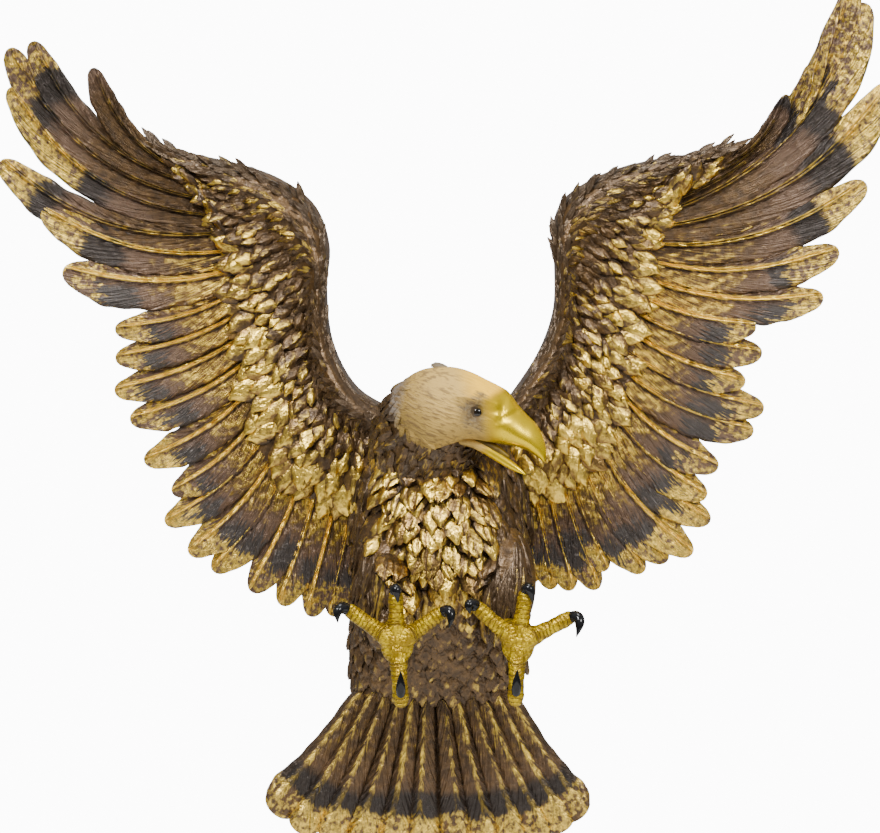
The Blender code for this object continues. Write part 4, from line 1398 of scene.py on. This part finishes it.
def head_paint():
    """Cream with faint brown strokes, warming through peach to the beak's glossy yellow."""
    m = Mixer("head_paint")
    x, y, z = m.parts(m.object_place)
    px, pz = m.times(x, PER_MM), m.times(z, PER_MM)
    far = m.sum((px, BEAK_SLANT[0]), (pz, BEAK_SLANT[1]))
    rise = m.sum((px, -BEAK_SLANT[1]), (pz, BEAK_SLANT[0]))
    strokes = m.noise(1.0, 4, m.vector(m.times(far, 0.10), m.times(rise, 0.50), m.times(y, 250.0)))
    cloud = m.noise(45, 3)

    # The skull, from the grey nape to the peach brow
    wander = m.sum(px, (pz, 0.16), (m.sum(cloud, -0.5), 8.0))
    colour = m.mix(m.step(m.sum(wander, (strokes, 14.0)), -24.0, 22.0), HEAD_TAN, HEAD_CREAM)
    nape = m.rest(m.step(m.sum(px, (pz, -0.25), (strokes, 10.0)), -40.0, -30.0))
    colour = m.mix(nape, colour, NAPE_GREY)
    stroke_strength = m.sum(0.75, (m.step(px, -10.0, 30.0), -0.4))
    colour = m.mix(m.times(m.step(strokes, 0.48, 0.62), stroke_strength), colour, HEAD_BROWN)
    crown = m.times(m.step(pz, 64.0, 66.0), m.rest(m.step(px, 4.0, 9.0)))
    colour = m.mix(crown, colour, HEAD_GREY)
    peach = m.times(m.step(wander, 18.0, 40.0), m.step(pz, 22.0, 44.0))
    colour = m.mix(peach, colour, HEAD_PEACH)

    # Round the eye: a grey ring with brown flecks, dark lids and the ochre corner before the beak
    squares = m.sum(m.math("POWER", m.sum(px, -EYE[0]), 2.0), m.math("POWER", m.sum(pz, -EYE[1]), 2.0))
    from_eye = m.math("SQRT", squares)
    ring = m.rest(m.step(m.sum(from_eye, (m.sum(strokes, -0.5), 24.0)), 7.0, 17.0))
    colour = m.mix(m.times(ring, 0.9), colour, HEAD_GREY)
    fleck = m.noise(330, 3)
    colour = m.mix(m.times(ring, m.step(fleck, 0.45, 0.58), 0.8), colour, HEAD_BROWN)
    upper_lid = m.step(pz, EYE[1] - 2, EYE[1] + 3)
    lid = m.rest(m.step(m.sum(from_eye, (m.sum(fleck, -0.5), 5.0), (upper_lid, -0.8)), 3.9, 5.0))
    colour = m.mix(m.times(lid, 0.8), colour, DARK_BROWN)
    lore = m.times(m.step(wander, 31.0, 43.0), m.rest(m.step(pz, 34.0, 46.0)), 0.75)
    colour = m.mix(lore, colour, BEAK_OCHRE)

    # The beak
    lower = m.times(m.rest(m.step(pz, -4.0, 10.0)), 12.0)
    upper = m.times(m.math("MAXIMUM", m.sum(pz, -39.0), 0.0), -1.6)
    edge = m.sum(px, (pz, 0.16), (m.sum(cloud, -0.5), 6.0), lower, upper)
    beak = m.step(edge, BEAK_START - 6.0, BEAK_START + 6.0)
    horn = m.sum((m.step(edge, BEAK_START - 1.0, BEAK_START + 9.0), 0.75), (m.step(cloud, 0.35, 0.6), 0.25))
    colour = m.mix(beak, colour, m.mix(horn, BEAK_OCHRE, BEAK_YELLOW))
    m.wire(m.shader.inputs["Base Color"], colour)
    m.wire(m.shader.inputs["Roughness"], m.sum(0.60, (m.times(beak, horn), -0.34)))
    m.wire(m.shader.inputs["Metallic"], m.times(beak, 0.75))
    m.shader.inputs["Specular IOR Level"].default_value = 0.3
    m.bumps(m.sum((strokes, m.rest(beak)), (cloud, 0.2)), 0.0020, 0.8)
    return m.material


MOUTH_DARK, MOUTH_OCHRE = (0.07, 0.04, 0.0, 1), (0.16, 0.10, 0.0, 1)
TALON_BLACK, TALON_GREY = (0.003, 0.003, 0.003, 1), (0.008, 0.008, 0.009, 1)
EYE_BLACK, EYE_BROWN = (0.004, 0.003, 0.002, 1), (0.016, 0.008, 0.003, 1)

plumage = antique_gold("antique_gold", mauve_share=0.85, shaft_share=1.0)
tail_plumage = antique_gold("tail_gold", mauve_share=0.2, shaft_share=0.15)
head_colours = head_paint()
foot_yellow = foot_paint()
mouth_dark = glossy_paint("mouth_dark", MOUTH_DARK, MOUTH_OCHRE, 90, 0.45, metal=0.3)
eye_dark = glossy_paint("eye_dark", EYE_BLACK, EYE_BROWN, 200, 0.08)
talon_black = glossy_paint(
    "talon_black", TALON_BLACK, TALON_GREY, 120, 0.14, unevenness=0.0001, specular=0.3,
)


# The sculpture, piece by piece

left = Wing(LEFT_LEADING_EDGE, LEFT_ROOT_LINE, LEFT_TIPS, LEFT_LEAF, -1)
right = Wing(RIGHT_LEADING_EDGE, RIGHT_ROOT_LINE, RIGHT_TIPS, RIGHT_LEAF, 1)
made = []
for name, wing in (("left_wing", left), ("right_wing", right)):
    carving = Relief()
    add_arm(carving, wing)
    add_flight_feathers(carving, wing)
    add_coverts(carving, wing)
    add_roll_feathers(carving, wing)
    made.append(carving.piece(name, plumage))

body = Relief()
add_trunk(body)
for centre, radii in THIGHS:
    body.take(egg("thigh", centre, radii), *PLAIN_SKIN)
add_side_feathers(body)
add_belly_feathers(body)
add_breast_feathers(body)
add_flanks(body)
add_collar(body)
made.append(body.piece("body", plumage))

tail = Relief()
add_tail(tail)
made.append(tail.piece("tail", tail_plumage))

head = Relief()
head_points = add_head(head)
add_tufts(head, head_points)
made.append(head.piece("head", head_colours))

for piece, material in (
        (eyeball("near_eye", head_points, 1), eye_dark),
        (eyeball("far_eye", head_points, -1), eye_dark),
        (draw_out("lower_beak", limb_rings(LOWER_BEAK_LINE, LOWER_BEAK_RADII, 14), 14), head_colours),
        (draw_out("tongue", limb_rings(TONGUE_LINE, TONGUE_RADII, 8), 10), mouth_dark),
        (foot("left_foot", THIGHS[0], LEFT_FOOT), foot_yellow),
        (foot("right_foot", THIGHS[1], RIGHT_FOOT), foot_yellow),
        (talons("left_talons", LEFT_FOOT), talon_black),
        (talons("right_talons", RIGHT_FOOT), talon_black)):
    piece.data.materials.append(material)
    made.append(piece)

for piece in made:
    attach(piece, "root")
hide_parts("eagle")


# Floor, light and camera, in metres but for the camera's height

# Camera: its distance from the wall, the width of its picture at a depth out of the wall, and its height in
# pose millimetres
VIEW_DISTANCE = 2.6
PICTURE_WIDTH = 0.704
PICTURE_DEPTH = 0.030
AIM_HEIGHT = 26.8

FLOOR_RADIUS = 0.9
FLOOR_HEIGHT = -0.45
FLOOR_GREYS = ((0.74, 0.74, 0.73, 1), (0.80, 0.80, 0.79, 1))

# Soft lights: name, place, size and power
LIGHTS = (
    ("key", (-0.9, -1.9, 1.5), 0.6, 75),
    ("fill", (1.4, -1.9, 0.9), 0.6, 45),
    ("top", (0.1, -0.5, 1.9), 0.7, 26),
)


def pale_floor():
    """A round pale floor below the sculpture."""
    deselect()
    bpy.ops.mesh.primitive_circle_add(
        vertices=96, radius=FLOOR_RADIUS, fill_type="NGON", location=(0, 0, FLOOR_HEIGHT),
    )
    bpy.ops.object.transform_apply(location=True)
    floor = bpy.context.object
    floor.name = "floor"
    m = Mixer("floor_paint")
    m.wire(m.shader.inputs["Base Color"], m.mix(m.noise(8, 3), *FLOOR_GREYS))
    m.shader.inputs["Roughness"].default_value = 0.7
    floor.data.materials.append(m.material)


def soft_light(name, place, size, power):
    """A square soft light aimed at the sculpture."""
    light = bpy.data.lights.new(name, "AREA")
    light.size = size
    light.energy = power
    lamp = bpy.data.objects.new(name, light)
    lamp.location = place
    lamp.rotation_euler = (-Vector(place)).to_track_quat("-Z", "Y").to_euler()
    bpy.context.scene.collection.objects.link(lamp)


def photograph_camera():
    """Straight on, far enough away that the wings aren't foreshortened."""
    camera = bpy.data.cameras.new("camera")
    camera.lens = camera.sensor_width * (VIEW_DISTANCE - PICTURE_DEPTH) / PICTURE_WIDTH
    view = bpy.data.objects.new("camera", camera)
    view.location = (0.0, -VIEW_DISTANCE, AIM_HEIGHT * MM)
    view.rotation_euler = (math.pi / 2, 0, 0)
    bpy.context.scene.collection.objects.link(view)
    bpy.context.scene.camera = view


def white_room(low, high, backdrop):
    """A pale surround, brighter above than below, that the camera sees as white."""
    world = bpy.data.worlds.new("room")
    bpy.context.scene.world = world
    world.use_nodes = True
    nodes, links = world.node_tree.nodes, world.node_tree.links
    direction = nodes.new("ShaderNodeSeparateXYZ")
    links.new(nodes.new("ShaderNodeTexCoord").outputs["Generated"], direction.inputs[0])
    rise = nodes.new("ShaderNodeMapRange")
    for name, value in (("From Min", -0.4), ("From Max", 0.9), ("To Min", low), ("To Max", high)):
        rise.inputs[name].default_value = value
    links.new(direction.outputs["Z"], rise.inputs["Value"])
    strength = nodes.new("ShaderNodeMix")
    strength.inputs["B"].default_value = backdrop
    links.new(rise.outputs["Result"], strength.inputs["A"])
    links.new(nodes.new("ShaderNodeLightPath").outputs["Is Camera Ray"], strength.inputs["Factor"])
    nodes["Background"].inputs["Color"].default_value = (1, 1, 1, 1)
    links.new(strength.outputs["Result"], nodes["Background"].inputs["Strength"])


pale_floor()
white_room(low=0.06, high=0.7, backdrop=12.0)
for light in LIGHTS:
    soft_light(*light)
photograph_camera()
